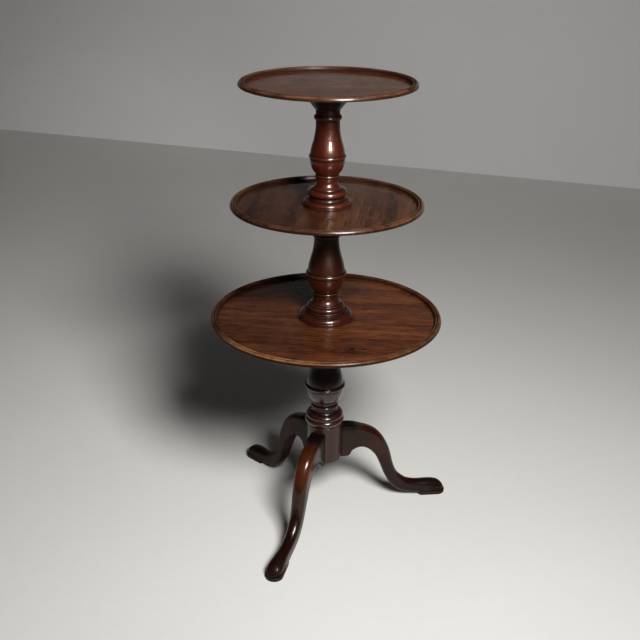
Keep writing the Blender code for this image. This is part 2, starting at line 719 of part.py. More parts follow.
def main():
    clear_scene()
    axis = add_empty("pillar_axis", (0, AXIS_BEHIND_ORIGIN, 0))
    upper = (UPPER_NECK_SHARE, UPPER_VASE_SHARES)
    middle = (MIDDLE_NECK_SHARE, MIDDLE_VASE_SHARES)
    add_lower_section(axis)
    add_upper_section(
        "middle_pillar", axis, BOTTOM_RIM_HEIGHT, MIDDLE_RIM_HEIGHT, middle, MIDDLE_BELLY_DIAMETER, True
    )
    add_upper_section(
        "upper_pillar", axis, MIDDLE_RIM_HEIGHT, TOP_RIM_HEIGHT, upper, UPPER_BELLY_DIAMETER, False
    )
    lower_neck = LOWER_NECK_SHARE * LOWER_BELLY_DIAMETER / 2
    middle_neck = MIDDLE_NECK_SHARE * MIDDLE_BELLY_DIAMETER / 2
    upper_neck = UPPER_NECK_SHARE * UPPER_BELLY_DIAMETER / 2
    groups = (
        ("bottom", BOTTOM_RIM_HEIGHT, BOTTOM_TRAY_DIAMETER, BOTTOM_HUB_DIAMETER, lower_neck),
        ("middle", MIDDLE_RIM_HEIGHT, MIDDLE_TRAY_DIAMETER, MIDDLE_HUB_DIAMETER, middle_neck),
        ("top", TOP_RIM_HEIGHT, TOP_TRAY_DIAMETER, TOP_HUB_DIAMETER, upper_neck),
    )
    for label, rim, diameter, hub_diameter, neck in groups:
        add_tray_group(label, axis, rim, diameter, hub_diameter, neck, label != "top")
    add_legs(axis)
    add_leg_iron(axis)


main()
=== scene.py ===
import json
from math import acos, atan, ceil, cos, pi, radians, sin, sqrt, tan

import bmesh
import bpy
import numpy as np
from mathutils import Matrix, Vector


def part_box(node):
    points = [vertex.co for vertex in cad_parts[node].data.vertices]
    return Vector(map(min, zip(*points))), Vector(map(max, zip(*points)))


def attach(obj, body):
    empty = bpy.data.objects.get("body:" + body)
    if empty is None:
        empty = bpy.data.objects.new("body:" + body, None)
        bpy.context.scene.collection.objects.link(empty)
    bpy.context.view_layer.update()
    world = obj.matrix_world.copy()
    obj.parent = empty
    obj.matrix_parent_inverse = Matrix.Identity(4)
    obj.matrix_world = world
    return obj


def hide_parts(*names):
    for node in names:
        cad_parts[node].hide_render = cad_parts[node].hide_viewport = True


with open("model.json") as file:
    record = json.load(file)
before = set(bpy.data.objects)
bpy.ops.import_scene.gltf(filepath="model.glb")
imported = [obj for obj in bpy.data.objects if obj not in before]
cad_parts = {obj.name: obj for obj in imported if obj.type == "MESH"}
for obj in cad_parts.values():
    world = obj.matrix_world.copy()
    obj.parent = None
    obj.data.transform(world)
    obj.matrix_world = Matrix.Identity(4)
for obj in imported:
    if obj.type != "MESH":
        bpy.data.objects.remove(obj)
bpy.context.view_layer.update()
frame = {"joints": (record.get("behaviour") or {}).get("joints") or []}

# Camera, fitted to the photo: focal length in pixels of a 640-pixel image, metres, degrees
FOCAL, CAMERA_BACK, CAMERA_HEIGHT = 950.8, 2.0900, 1.4602
CAMERA_YAW, CAMERA_PITCH, CAMERA_ROLL, TABLE_TURN = -0.373, 23.943, 0.504, 18.28
IMAGE_SIDE, SENSOR = 640, 36

# The table's sizes, as in part.py, in metres
AXIS_Y = frame["joints"][0]["pos_m"][1]
SEAT_GAP, RUNNING_GAP, FIT_CLEARANCE = 0.0003, 0.0004, 0.0004
RIM_WIDTH, RIM_BEAD_DEPTH, DISH_DEPTH, DISH_FLOOR = 0.018, 0.0026, 0.0085, 0.0105
EDGE_DEPTH, EDGE_UNDERCUT = 0.0105, 0.050
BELLY = {"lower": 0.1012, "middle": 0.0959, "upper": 0.0845}
NECK = {"lower": 0.612, "middle": 0.600, "upper": 0.640}
JOURNAL_RADIUS, TENON_RADIUS, BORE_RADIUS, SOCKET_DEPTH = 0.018, 0.014, 0.0185, 0.042
HUB_EDGE, HUB_CROWN, HUB_SCREWS = 0.004, 0.007, 4
LEG_AZIMUTHS = [radians(degrees) for degrees in (-93.1, 32.4, 147.8)]
LEG_REACH, LEG_HEIGHT, LEG_DEPTH, LEG_WIDTH = 0.3335, 0.2385, 0.084, 0.037
BLOCK_RADIUS, BLOCK_ABOVE_LEGS, SEAT_MARGIN = 0.044, 0.0155, 0.001
TAIL_LENGTH, TAIL_ROOT, TAIL_END, TAIL_BELOW_TOP = 0.0145, 0.014, 0.021, 0.012
SHOE_THICKNESS, SHOE_LENGTH, SHOE_WIDTH = 0.008, 0.075, 0.0435
SHOE_BACK_WIDTH, SHOE_BACK_SLOPE, SHOE_TOE_MARGIN = 0.030, 0.006, 0.002
IRON_THICKNESS, IRON_REACH, IRON_ARM, IRON_TIP = 0.0025, 0.058, 0.018, 0.004
NAIL_HEAD, NAIL_HEAD_HEIGHT, NAIL_RADIUS, NAIL_LENGTH, NAILS = 0.004, 0.0016, 0.0016, 0.020, 7
SCREW_HEAD, SCREW_HEAD_HEIGHT, SCREW_RADIUS = 0.00375, 0.0022, 0.00175
SCREW_INSET, SCREW_SEAT, SCREW_BITE = 0.0095, 0.006, 0.0075
SLOT_REACH, SLOT_WIDTH, SLOT_DEPTH = 0.005, 0.0009, 0.0009

BLOCK_UNDERSIDE = LEG_HEIGHT - LEG_DEPTH
BLOCK_TOP = LEG_HEIGHT + BLOCK_ABOVE_LEGS
SEAT_HALF = LEG_WIDTH / 2 + SEAT_MARGIN
SEAT_RADIUS = sqrt(BLOCK_RADIUS ** 2 - SEAT_HALF ** 2)

# Rim section in rows of a share inwards and a share down: the outer roll down to the edge, the
# bead, the cove down to the floor of the dish, and the hollow under the edge
ROLL = ((0.0, 1.0), (0.004, 0.86), (0.018, 0.69), (0.045, 0.51), (0.085, 0.34), (0.135, 0.20),
        (0.19, 0.095), (0.25, 0.03), (0.31, 0.0))
BEAD = ((0.31, 0.0), (0.37, 0.01), (0.42, 0.13), (0.445, 0.36), (0.46, 0.80), (0.485, 1.0),
        (0.54, 1.0), (0.565, 0.78), (0.59, 0.46), (0.63, 0.29), (0.68, 0.27), (0.72, 0.42),
        (0.745, 0.72), (0.765, 1.0))
COVE = ((0.765, 0.0), (0.785, 0.30), (0.815, 0.54), (0.855, 0.75), (0.905, 0.90),
        (0.955, 0.975), (1.0, 1.0))
UNDERCUT = ((0.0, 0.0), (0.004, 0.05), (0.012, 0.10), (0.06, 0.19), (1.0, 1.0))

# The rim's colours: shares of its width inwards, and how dark it is painted there, with wax in
# the grooves and cove and darker towards the foot of the outer roll, or how worn it is there
RIM_DARK = (
    (0.012, 0.035, 0.08, 0.22, 0.27, 0.33, 0.37, 0.43, 0.46,
     0.54, 0.58, 0.70, 0.75, 0.80, 0.90, 1.0, 1.06),
    (1.0, 0.85, 0.45, 0.45, 0.8, 0.8, 0.0, 0.3, 1.0,
     1.0, 0.3, 0.2, 0.9, 0.9, 0.5, 0.5, 0.0))
RIM_WORN = (
    (0.03, 0.09, 0.22, 0.28, 0.33, 0.36, 0.42, 0.45),
    (0.0, 0.42, 0.42, 0.1, 0.1, 0.8, 0.8, 0.0))
OUTER_SHARE, OUTER_ROLL, OUTER_DULLNESS = 0.2, 0.006, 0.4

# Turned outlines, top to bottom: share of the height, share of the belly ring (in NECK_ROWS what
# is added to the neck's share), and the rise of the arc that leads to that row over its chord
NECK_ROWS = ((1.000, 0.000), (0.952, 0.000), (0.9465, 0.022), (0.898, 0.022, 0.30), (0.893, 0.000))
VASES = {
    "upper": (
        (0.861, 0.640), (0.640, 0.828, -0.040), (0.541, 0.932, 0.035), (0.537, 0.940),
        (0.500, 0.937, 0.320), (0.335, 0.634, 0.103), (0.3295, 0.611), (0.324, 0.622),
        (0.3055, 0.622, 0.250), (0.302, 0.600), (0.270, 0.588), (0.185, 0.795, -0.136),
        (0.174, 0.812), (0.168, 0.930), (0.106, 0.985, 0.400), (0.100, 0.960),
        (0.064, 1.010, -0.120), (0.058, 1.050), (0.0565, 1.205), (0.052, 1.225),
        (0.015, 1.275, 0.260), (0.013, 1.290), (0.000, 1.290)),
    "middle": (
        (0.675, 0.765, -0.040), (0.528, 0.924, 0.0225), (0.524, 0.934), (0.480, 0.929, 0.360),
        (0.306, 0.645, 0.080), (0.3005, 0.625), (0.2945, 0.632), (0.275, 0.632, 0.250),
        (0.2715, 0.610), (0.250, 0.592), (0.178, 0.730, -0.125), (0.169, 0.745), (0.164, 0.815),
        (0.149, 0.828), (0.104, 0.908, 0.330), (0.0985, 0.903), (0.0955, 0.940), (0.0895, 0.950),
        (0.0715, 0.985, -0.150), (0.066, 1.020), (0.067, 1.035), (0.0745, 1.048), (0.0745, 1.062),
        (0.066, 1.110), (0.020, 1.340, 0.220), (0.018, 1.360), (0.000, 1.360)),
    "lower": (
        (0.841, 0.612), (0.630, 0.751, -0.034), (0.4795, 0.912, 0.020), (0.476, 0.922),
        (0.4335, 0.920, 0.40), (0.284, 0.728, 0.09), (0.280, 0.735), (0.262, 0.695, 0.15),
        (0.240, 0.622), (0.228, 0.612), (0.2265, 0.640), (0.200, 0.640, 0.30), (0.198, 0.622),
        (0.178, 0.622), (0.148, 0.690, -0.05), (0.146, 0.722), (0.099, 0.925, 0.21),
        (0.093, 0.930), (0.089, 0.890), (0.0845, 0.870), (0.0125, 0.880, 0.29),
        (0.0105, 0.845), (0.0015, 0.845)),
}
# Painted shade under the trays: where each section starts to be painted darker, as shade under
# its tray, and where that is darkest, as shares of its height, and a span that lies below the
# whole piece, so that all of it is painted dark
UNDER_TRAY_SHADE = {"upper": (0.80, 0.90), "middle": (0.50, 0.85), "lower": (0.47, 0.56)}
ALL_IN_SHADE = (-0.002, -0.001)
FLARE = ((1.0, 1.0), (0.86, 0.86), (0.62, 0.62), (0.35, 0.31), (0.07, 0.03), (0.0, 0.0))

# Leg stations, as in part.py: ridge out and up, belly out and up, width, crown, chamfer, flat top
LEG_STATIONS = (
    (0.000, 1.000, 0.000, 1.000, 1.00, 0.05, 0.02, 0.96),
    (0.075, 0.997, 0.068, 1.000, 1.00, 0.10, 0.02, 0.92),
    (0.122, 0.991, 0.102, 1.090, 1.00, 0.17, 0.04, 0.84),
    (0.150, 0.985, 0.120, 1.112, 1.00, 0.22, 0.05, 0.74),
    (0.187, 0.974, 0.143, 1.132, 1.00, 0.28, 0.07, 0.54),
    (0.255, 0.948, 0.178, 1.138, 1.00, 0.32, 0.10, 0.28),
    (0.323, 0.898, 0.216, 1.120, 1.00, 0.35, 0.13, 0.14),
    (0.378, 0.824, 0.257, 1.070, 0.99, 0.37, 0.14, 0.10),
    (0.422, 0.732, 0.295, 0.997, 0.98, 0.38, 0.14, 0.10),
    (0.457, 0.628, 0.333, 0.885, 0.96, 0.39, 0.14, 0.10),
    (0.481, 0.516, 0.370, 0.728, 0.94, 0.39, 0.14, 0.10),
    (0.502, 0.416, 0.399, 0.578, 0.90, 0.39, 0.17, 0.10),
    (0.533, 0.319, 0.430, 0.422, 0.87, 0.39, 0.20, 0.10),
    (0.578, 0.250, 0.468, 0.285, 0.84, 0.40, 0.22, 0.10),
    (0.637, 0.192, 0.523, 0.155, 0.80, 0.41, 0.24, 0.10),
    (0.702, 0.163, 0.592, 0.077, 0.79, 0.42, 0.24, 0.10),
    (0.771, 0.150, 0.681, 0.026, 0.83, 0.44, 0.24, 0.10),
    (0.840, 0.143, 0.768, 0.002, 0.92, 0.46, 0.20, 0.10),
    (0.895, 0.130, 0.858, 0.000, 0.99, 0.46, 0.14, 0.10),
    (0.943, 0.106, 0.920, 0.000, 1.00, 0.44, 0.09, 0.10),
    (0.975, 0.072, 0.958, 0.000, 0.84, 0.36, 0.05, 0.10),
    (0.993, 0.036, 0.984, 0.000, 0.54, 0.18, 0.02, 0.10),
    (1.000, 0.010, 0.996, 0.000, 0.32, 0.03, 0.01, 0.10))
CHAMFER_STEPS, CROWN_STEPS, STATION_STEPS = 5, 10, 6

# Where the legs are worn and dull, where the flat top by the block is painted dark as shade, and
# where the knee is painted red as worn polish and painted light: out from the axis, up from the
# floor, and how much
FLAT_END, FLAT_FADE, FLAT_DEPTH, FLAT_SHADE = 0.088, 0.014, 0.012, 0.7
KNEE_OUT, KNEE_REACH, KNEE_UP, KNEE_FADE = 0.145, 0.065, 0.12, 0.05
KNEE_WEAR_AND_LIGHT, LEG_DULLNESS = (1.0, 0.3, 0.3), (0.0, 0.35, 0.85)
TOE_OUT, TOE_FADE, TOE_DULLNESS = 0.275, 0.025, 0.8
BLOCK_DULLNESS = 0.5

# How strongly the bends of an outline show as wear or as wax in the hollows, and how dark the
# painted shade under a tray is
WEAR_GAIN, WEAR_ONSET, GRIME_GAIN, SHADE_DARKNESS = 3.6, 0.4, 3.0, 0.5

TRAY_SEGMENTS, BLOCK_SEGMENTS, PILLAR_SEGMENTS, SMALL_SEGMENTS, NAIL_SEGMENTS = 160, 96, 80, 20, 9
ARC_STEP = radians(7)
MM = 0.001
OVERRUN = 4 * MM
ON_AXIS = 1e-6


# -------- outlines

def follow_arcs(rows):
    """Rows of (radius, height, swell) as points, with each swelling stretch as a fine arc."""
    points = [tuple(rows[0][:2])]
    for row in rows[1:]:
        (r0, z0), (r1, z1) = points[-1], row[:2]
        swell = row[2] if len(row) > 2 else 0
        if swell:
            turn = 4 * atan(2 * swell)
            chord = sqrt((r1 - r0) ** 2 + (z1 - z0) ** 2)
            along = ((r1 - r0) / chord, (z1 - z0) / chord)
            radius = chord / (2 * sin(turn / 2))
            steps = max(4, ceil(abs(turn) / ARC_STEP))
            for step in range(1, steps):
                angle = turn * (step / steps - 1 / 2)
                forward = chord / 2 + radius * sin(angle)
                outward = radius * (cos(angle) - cos(turn / 2))
                points.append((r0 + along[0] * forward - along[1] * outward,
                               z0 + along[1] * forward + along[0] * outward))
        points.append((r1, z1))
    return points


def eased(points, radius, sharpest=radians(16)):
    """The outline with its corners rounded a little, as hand work and wear leave them."""
    made = [Vector(points[0])]
    for before, here, after in zip(points, points[1:], points[2:]):
        a, p, b = Vector(before), Vector(here), Vector(after)
        u, v = (a - p), (b - p)
        if u.length < 1e-7 or v.length < 1e-7:
            continue
        turn = pi - u.angle(v)
        reach = min(radius * tan(turn / 2), 0.42 * u.length, 0.42 * v.length) if turn < 3 else 0
        if turn < sharpest or reach < ON_AXIS or here[0] < ON_AXIS:
            made.append(p)
            continue
        start, end = p + u.normalized() * reach, p + v.normalized() * reach
        for step in range(4):
            t = step / 3
            made.append(start * (1 - t) ** 2 + p * 2 * t * (1 - t) + end * t ** 2)
    made.append(Vector(points[-1]))
    return made


def spaced(points, first=0.6 * MM, growth=1.7, widest=9 * MM):
    """The outline with long stretches divided, closely at their ends and widely between."""
    made = [points[0]]
    for a, b in zip(points, points[1:]):
        length = (b - a).length
        cuts, at, step = [], first, first
        while at < length / 2 and length > 2.5 * MM:
            cuts.append(at)
            step = min(step * growth, widest)
            at += step
        cuts = cuts + [length - c for c in reversed(cuts)]
        made += [a + (b - a) * (c / length) for c in cuts]
        made.append(b)
    return made


def bends(points, reach):
    """How far each point of an outline stands proud (+) or lies in a hollow (-) within a reach."""
    xy = np.array([tuple(p) for p in points])
    run = np.concatenate([[0], np.cumsum(np.linalg.norm(np.diff(xy, axis=0), axis=1))])
    ahead = np.stack([np.interp(run + reach, run, xy[:, k]) for k in (0, 1)], 1)
    behind = np.stack([np.interp(run - reach, run, xy[:, k]) for k in (0, 1)], 1)
    along = ahead - behind
    along /= np.maximum(np.linalg.norm(along, axis=1, keepdims=True), 1e-9)
    normal = np.stack([-along[:, 1], along[:, 0]], 1)
    return ((xy - (ahead + behind) / 2) * normal).sum(1) / reach


# -------- meshes

def clamped(value, low=0.0, high=1.0):
    """The value, kept between two limits."""
    return min(high, max(low, value))


def new_object(name, mesh, location=(0, 0, 0), turn=0.0):
    """The mesh as an object in the scene, turned about Z."""
    piece = bpy.data.objects.new(name, mesh)
    bpy.context.scene.collection.objects.link(piece)
    piece.location = location
    piece.rotation_euler.z = turn
    return piece


def smooth(mesh, angle=38):
    """The mesh shaded smooth, but for edges sharper than that angle in degrees."""
    mesh.shade_smooth()
    mesh.set_sharp_from_angle(angle=radians(angle))
    return mesh


def add_attribute(mesh, name, values):
    """Notes one value for each vertex, which the materials read by that name."""
    layer = mesh.attributes.get(name) or mesh.attributes.new(name, "FLOAT", "POINT")
    layer.data.foreach_set("value", np.asarray(values, np.float32))


def finished_mesh(name, build):
    """The mesh of a bmesh, with its faces turned outwards."""
    bmesh.ops.recalc_face_normals(build, faces=build.faces)
    mesh = bpy.data.meshes.new(name)
    build.to_mesh(mesh)
    build.free()
    return mesh


def lathe(name, outline, segments, closed=False, reach=1.8 * MM, shade_span=None):
    """A mesh turned about Z from an outline down its outer side, its wear, wax and painted shade
    noted.
    """
    build = bmesh.new()
    angles = [2 * pi * k / segments for k in range(segments)]
    rings, proud = [], []
    for (r, z), bend in zip(outline, bends(outline, reach)):
        places = [(0, 0, z)] if r < ON_AXIS else [(r * cos(a), r * sin(a), z) for a in angles]
        rings.append([build.verts.new(place) for place in places])
        proud += [bend] * len(places)
    pairs = list(zip(rings, rings[1:]))
    if closed:
        pairs.append((rings[-1], rings[0]))
    for upper, lower in pairs:
        for k in range(segments):
            j = (k + 1) % segments
            corners = (upper[k % len(upper)], lower[k % len(lower)],
                       lower[j % len(lower)], upper[j % len(upper)])
            corners = list(dict.fromkeys(corners))
            if len(corners) > 2:
                build.faces.new(corners)
    mesh = finished_mesh(name, build)
    proud = np.array(proud)
    add_attribute(mesh, "wear", np.clip(proud * WEAR_GAIN - WEAR_ONSET, 0, 1))
    wax_and_painted_shade = np.clip(-proud * GRIME_GAIN, 0, 1)
    # The span under a tray is painted darker, as shade
    if shade_span:
        start, full = shade_span
        rise = np.array([v.co.z for v in mesh.vertices])
        wax_and_painted_shade = np.maximum(wax_and_painted_shade, np.clip((rise - start) / (full - start), 0, 1) * SHADE_DARKNESS)
    add_attribute(mesh, "wax_and_painted_shade", wax_and_painted_shade)
    return smooth(mesh)


def loft(name, rings):
    """A closed mesh through rings with the same count of points."""
    build = bmesh.new()
    loops = [[build.verts.new(point) for point in ring] for ring in rings]
    count = len(loops[0])
    for near, far in zip(loops, loops[1:]):
        for i in range(count):
            j = (i + 1) % count
            build.faces.new((near[i], near[j], far[j], far[i]))
    for loop in (loops[0], loops[-1]):
        middle = build.verts.new(sum((v.co for v in loop), Vector()) / count)
        for i in range(count):
            build.faces.new((loop[i], loop[(i + 1) % count], middle))
    return finished_mesh(name, build)


def prism(name, outline, bottom, top):
    return loft(name, [[(x, y, z) for x, y in outline] for z in (bottom, top)])


def apply_modifiers(piece):
    """Makes the modifiers of a piece real and removes its cutters."""
    bpy.context.view_layer.update()
    graph = bpy.context.evaluated_depsgraph_get()
    mesh = bpy.data.meshes.new_from_object(piece.evaluated_get(graph))
    cutters = [m.object for m in piece.modifiers if m.type == "BOOLEAN"]
    piece.modifiers.clear()
    piece.data = mesh
    for cutter in cutters:
        bpy.data.objects.remove(cutter)


def kept_mesh(piece, angle=38):
    """The smoothed mesh of an object that was only needed to make it."""
    apply_modifiers(piece)
    mesh = smooth(piece.data, angle)
    bpy.data.objects.remove(piece)
    return mesh


def cut(piece, cutter, operation="DIFFERENCE"):
    """Takes one object from another, or joins them."""
    modifier = piece.modifiers.new(cutter.name, "BOOLEAN")
    modifier.object = cutter
    modifier.operation = operation
    cutter.hide_render = True


def bevel(piece, width, segments=2):
    modifier = piece.modifiers.new("bevel", "BEVEL")
    modifier.width = width
    modifier.segments = segments
    modifier.limit_method = "ANGLE"
    modifier.angle_limit = radians(30)


# -------- materials

class Shade:
    """A small hand for building one material's nodes."""

    def __init__(self, name):
        self.material = bpy.data.materials.new(name)
        self.material.use_nodes = True
        self.nodes = self.material.node_tree.nodes
        self.links = self.material.node_tree.links
        self.surface = self.nodes["Principled BSDF"]
        self.coords = self.add("TexCoord").outputs["Object"]

    def put(self, socket, value):
        """Links the socket or sets its value, unless that is None."""
        if isinstance(value, bpy.types.NodeSocket):
            self.links.new(value, socket)
        elif value is not None:
            socket.default_value = value

    def add(self, kind, **inputs):
        """A new node with those inputs, in whose names an underscore stands for a space."""
        node = self.nodes.new("ShaderNode" + kind)
        for name, value in inputs.items():
            self.put(node.inputs[name.replace("_", " ")], value)
        return node

    def math(self, operation, a, b=None, clamp=False):
        node = self.add("Math")
        node.operation = operation
        node.use_clamp = clamp
        self.put(node.inputs[0], a)
        self.put(node.inputs[1], b)
        return node.outputs[0]

    def plus(self, a, b):
        return self.math("ADD", a, b)

    def minus(self, a, b):
        return self.math("SUBTRACT", a, b)

    def times(self, a, b, clamp=False):
        return self.math("MULTIPLY", a, b, clamp)

    def vector(self, operation, a, b=None, scale=None):
        node = self.add("VectorMath")
        node.operation = operation
        self.put(node.inputs[0], a)
        self.put(node.inputs[1], b)
        if scale is not None:
            self.put(node.inputs["Scale"], scale)
        return node.outputs["Value" if operation in ("DISTANCE", "DOT_PRODUCT") else "Vector"]

    def place(self, vector, turn, shift):
        """The coordinates shifted, and turned so that a grain along +X runs at that angle."""
        return self.add("Mapping", Vector=vector, Location=shift,
                        Rotation=(0, 0, -turn)).outputs[0]

    def noise(self, vector, scale=1.0, detail=3.0, roughness=0.5, distortion=0.0):
        return self.add("TexNoise", Vector=vector, Scale=scale, Detail=detail,
                        Roughness=roughness, Distortion=distortion).outputs["Fac"]

    def stretch(self, value, low, high, to_low=0.0, to_high=1.0, smooth_step=False):
        """The value's range from low to high, spread over another range and kept inside it."""
        node = self.add("MapRange", Value=value, From_Min=low, From_Max=high,
                        To_Min=to_low, To_Max=to_high)
        node.interpolation_type = "SMOOTHSTEP" if smooth_step else "LINEAR"
        return node.outputs[0]

    def ramp(self, value, stops):
        node = self.add("ValToRGB")
        self.put(node.inputs[0], value)
        marks = node.color_ramp.elements
        while len(marks) < len(stops):
            marks.new(0.5)
        for mark, (at, colour) in zip(marks, stops):
            mark.position = at
            mark.color = (*colour, 1)
        return node.outputs[0]

    def mix(self, share, a, b, blend="MIX"):
        node = self.add("Mix")
        node.data_type = "RGBA"
        node.blend_type = blend
        self.put(node.inputs[0], share)
        for socket, value in ((node.inputs[6], a), (node.inputs[7], b)):
            self.put(socket, (*value, 1) if isinstance(value, tuple) else value)
        return node.outputs[2]

    def attribute(self, name):
        node = self.add("Attribute")
        node.attribute_name = name
        return node.outputs["Fac"]

    def bump(self, height, distance, strength=1.0, normal=None):
        return self.add("Bump", Strength=strength, Distance=distance, Height=height,
                        Normal=normal).outputs[0]

    def split(self, vector):
        return tuple(self.add("SeparateXYZ", Vector=vector).outputs)

    def set(self, **values):
        for name, value in values.items():
            socket = self.surface.inputs[name.replace("_", " ")]
            if isinstance(value, tuple) and len(value) == 3:
                value = (*value, 1)
            self.put(socket, value)
        return self.material


# Colours of the marks, as linear red, green and blue
# These two darken wax in the hollows and rims, and also painted shade
WAX_AND_SHADE, EDGE_WAX_AND_SHADE = (0.0030, 0.0015, 0.0012), (0.0085, 0.0036, 0.0024)
KNOT_BROWN, BASE_RING_BROWN = (0.010, 0.004, 0.003), (0.012, 0.005, 0.0035)
RUBBED_RED, RUBBED_TAN = (0.125, 0.052, 0.026), (0.200, 0.105, 0.058)
# Pale rubbed wood with a painted highlight, and the red of a worn knee with painted light
PALE_RUB_AND_HIGHLIGHT, KNEE_WORN_AND_LIT_RED = (0.40, 0.18, 0.07), (0.066, 0.0150, 0.0036)
# Tints that paint shade on one side of a tray and light on the other
PAINTED_SHADE_TINT, PAINTED_LIGHT_TINT = (0.80, 0.77, 0.74), (1.32, 1.28, 1.18)
MOTTLE_SHARE, EDGE_SHARE, PORE_SHADE = 0.14, 0.86, 0.25


def wood(name, stops, along, across, turn, shift, *, gloss, wear_share, upright=False, coat=0.3,
         coat_roughness=0.12, worn=RUBBED_RED, marks=None, waves=0.4, shine=0.32, contrast=1.0,
         tint=(1, 1, 1)):
    """Old polished mahogany: figure, grain, pores, mottle, dark wax and painted shade, rubbed
    edges.

    The grain has `along` and `across` cycles to the metre, and runs upright or at `turn`.
    """
    s = Shade(name)
    base = s.place(s.coords, turn, shift)
    slow = s.noise(base, 5.0, 3.0, 0.5)
    quick = s.noise(base, 34.0, 2.0, 0.5)
    sway = s.plus(s.times(slow, 0.012), s.times(quick, 0.0011))
    warped = s.vector("ADD", base, s.vector("SCALE", (0.25, 1.0, 1.0), scale=sway))

    def drawn_out(times_along, times_across):
        long, wide = along * times_along, across * times_across
        return s.vector("MULTIPLY", warped, (wide, wide, long) if upright else (long, wide, wide))

    figure = s.noise(drawn_out(1.0, 1.0), 1.0, 4.0, 0.55, 0.25)
    grain = s.noise(drawn_out(9.0, 9.0), 1.0, 5.0, 0.62)
    pore = s.noise(drawn_out(22, 60), 1.0, 2.0, 0.6)
    mottle = s.noise(base, 46.0, 3.0, 0.6)
    patch = s.noise(base, 21.0, 4.0, 0.65)
    fine_patch = s.noise(base, 140.0, 3.0, 0.6)

    # The bare wood, and the marks that belong to one piece
    tone = s.plus(s.times(figure, 0.5), s.times(grain, 0.5))
    tone = s.plus(tone, s.times(s.minus(mottle, 0.5), MOTTLE_SHARE))
    tone = s.stretch(tone, 0.0, 1.0, 0.5 - contrast / 2, 0.5 + contrast / 2)
    pores = s.stretch(pore, 0.60, 0.72, 0.0, 0.40)
    colour = s.mix(pores, s.ramp(tone, stops), tuple(c * PORE_SHADE for c in stops[0][1]))
    # Tray rims darkened with wax in the grooves and with painted shade under the edge
    colour = s.mix(s.times(s.attribute("edge"), EDGE_SHARE), colour, EDGE_WAX_AND_SHADE)
    if marks:
        colour = marks(s, base, colour)

    # Patches rubbed bare where the piece stands proud, and the dark of wax in its hollows and of
    # painted shade under the trays and on the legs' flat tops
    rubbed = s.times(s.attribute("wear"), s.stretch(patch, 0.38, 0.66, 0.0, wear_share))
    rubbed = s.times(rubbed, s.stretch(fine_patch, 0.30, 0.60, 0.35, 1.0), True)
    colour = s.mix(rubbed, colour, worn)
    wax_and_shade_share = s.times(s.attribute("wax_and_painted_shade"), 1.35)
    wax_and_shade_share = s.times(wax_and_shade_share, s.stretch(patch, 0.2, 0.6, 0.75, 1.0), True)
    colour = s.mix(wax_and_shade_share, colour, WAX_AND_SHADE)

    # The polish: duller in the grain, in patches, on wax and painted shade, and where "rim" says
    # so
    rim = s.attribute("rim")
    rough = s.plus(s.stretch(grain, 0.3, 0.7, gloss - 0.05, gloss + 0.07), s.times(wax_and_shade_share, 0.22))
    rough = s.plus(rough, s.stretch(patch, 0.35, 0.7, -0.04, 0.08))
    rough = s.plus(rough, s.times(rim, 0.16))
    dull = s.math("MAXIMUM", rim, wax_and_shade_share)
    coat = s.times(s.minus(1.0, s.times(dull, 0.85)), coat)
    shine = s.times(s.minus(1.0, s.times(dull, 0.6)), shine)

    # The surface: long waves of old hand work under the fine relief of grain and pores
    relief = s.minus(s.times(grain, 0.5), s.times(pores, 0.9))
    hollow = s.bump(s.noise(base, 15.0, 2.0, 0.45), 0.0009 * waves)
    skin = s.bump(relief, 0.00007, normal=hollow)
    return s.set(Base_Color=colour, Roughness=rough, Normal=skin, Coat_Weight=coat,
                 Coat_Roughness=coat_roughness, Coat_Normal=hollow, Coat_IOR=1.5, IOR=1.45,
                 Specular_IOR_Level=shine, Specular_Tint=tint)


def metal(name, colour, rust, roughness, metallic, scale):
    """Dark old iron or steel: pitted, patchy and a little rusty."""
    s = Shade(name)
    patch = s.noise(s.coords, scale, 5.0, 0.6)
    pits = s.noise(s.coords, scale * 5, 3.0, 0.6)
    tint = s.mix(s.stretch(patch, 0.42, 0.66), colour, rust)
    rough = s.stretch(patch, 0.3, 0.7, roughness - 0.1, roughness + 0.2)
    relief = s.bump(s.plus(patch, s.times(pits, 0.5)), 0.0003)
    return s.set(Base_Color=tint, Roughness=rough, Normal=relief, Metallic=metallic)


# Colour stops of the woods: share of the tone, and linear red, green and blue
DEEP = ((0.32, (0.010, 0.0015, 0.0008)), (0.46, (0.028, 0.0037, 0.0015)),
        (0.60, (0.056, 0.0085, 0.0027)), (0.76, (0.086, 0.0160, 0.0046)))
GREYED = ((0.32, (0.013, 0.0046, 0.0026)), (0.45, (0.037, 0.0135, 0.0066)),
          (0.58, (0.070, 0.0275, 0.0130)), (0.74, (0.115, 0.0500, 0.0240)))
TRAY = ((0.32, (0.016, 0.0044, 0.0022)), (0.45, (0.048, 0.0135, 0.0055)),
        (0.58, (0.092, 0.0285, 0.0105)), (0.74, (0.150, 0.0510, 0.0185)))
# A darker copy of the stops above, painted as shade for the middle section under its tray
DUSK_RED = ((0.32, (0.007, 0.0014, 0.0008)), (0.46, (0.020, 0.0033, 0.0014)),
            (0.60, (0.042, 0.0078, 0.0028)), (0.76, (0.068, 0.0145, 0.0046)))
DUSKY = ((0.32, (0.007, 0.0020, 0.0015)), (0.46, (0.019, 0.0052, 0.0034)),
         (0.60, (0.040, 0.0115, 0.0066)), (0.76, (0.070, 0.0210, 0.0105)))
DULL = ((0.32, (0.0035, 0.0011, 0.0008)), (0.48, (0.0095, 0.0028, 0.0016)),
        (0.62, (0.0200, 0.0058, 0.0028)), (0.80, (0.0360, 0.0110, 0.0050)))


# Dark spots in the bottom tray: place on the tray, radius of the core and of the ring, strength
KNOTS = (((0.1130, -0.1527), 0.0065, 0.014, 0.95), ((0.0761, 0.0729), 0.0022, 0.006, 0.80))
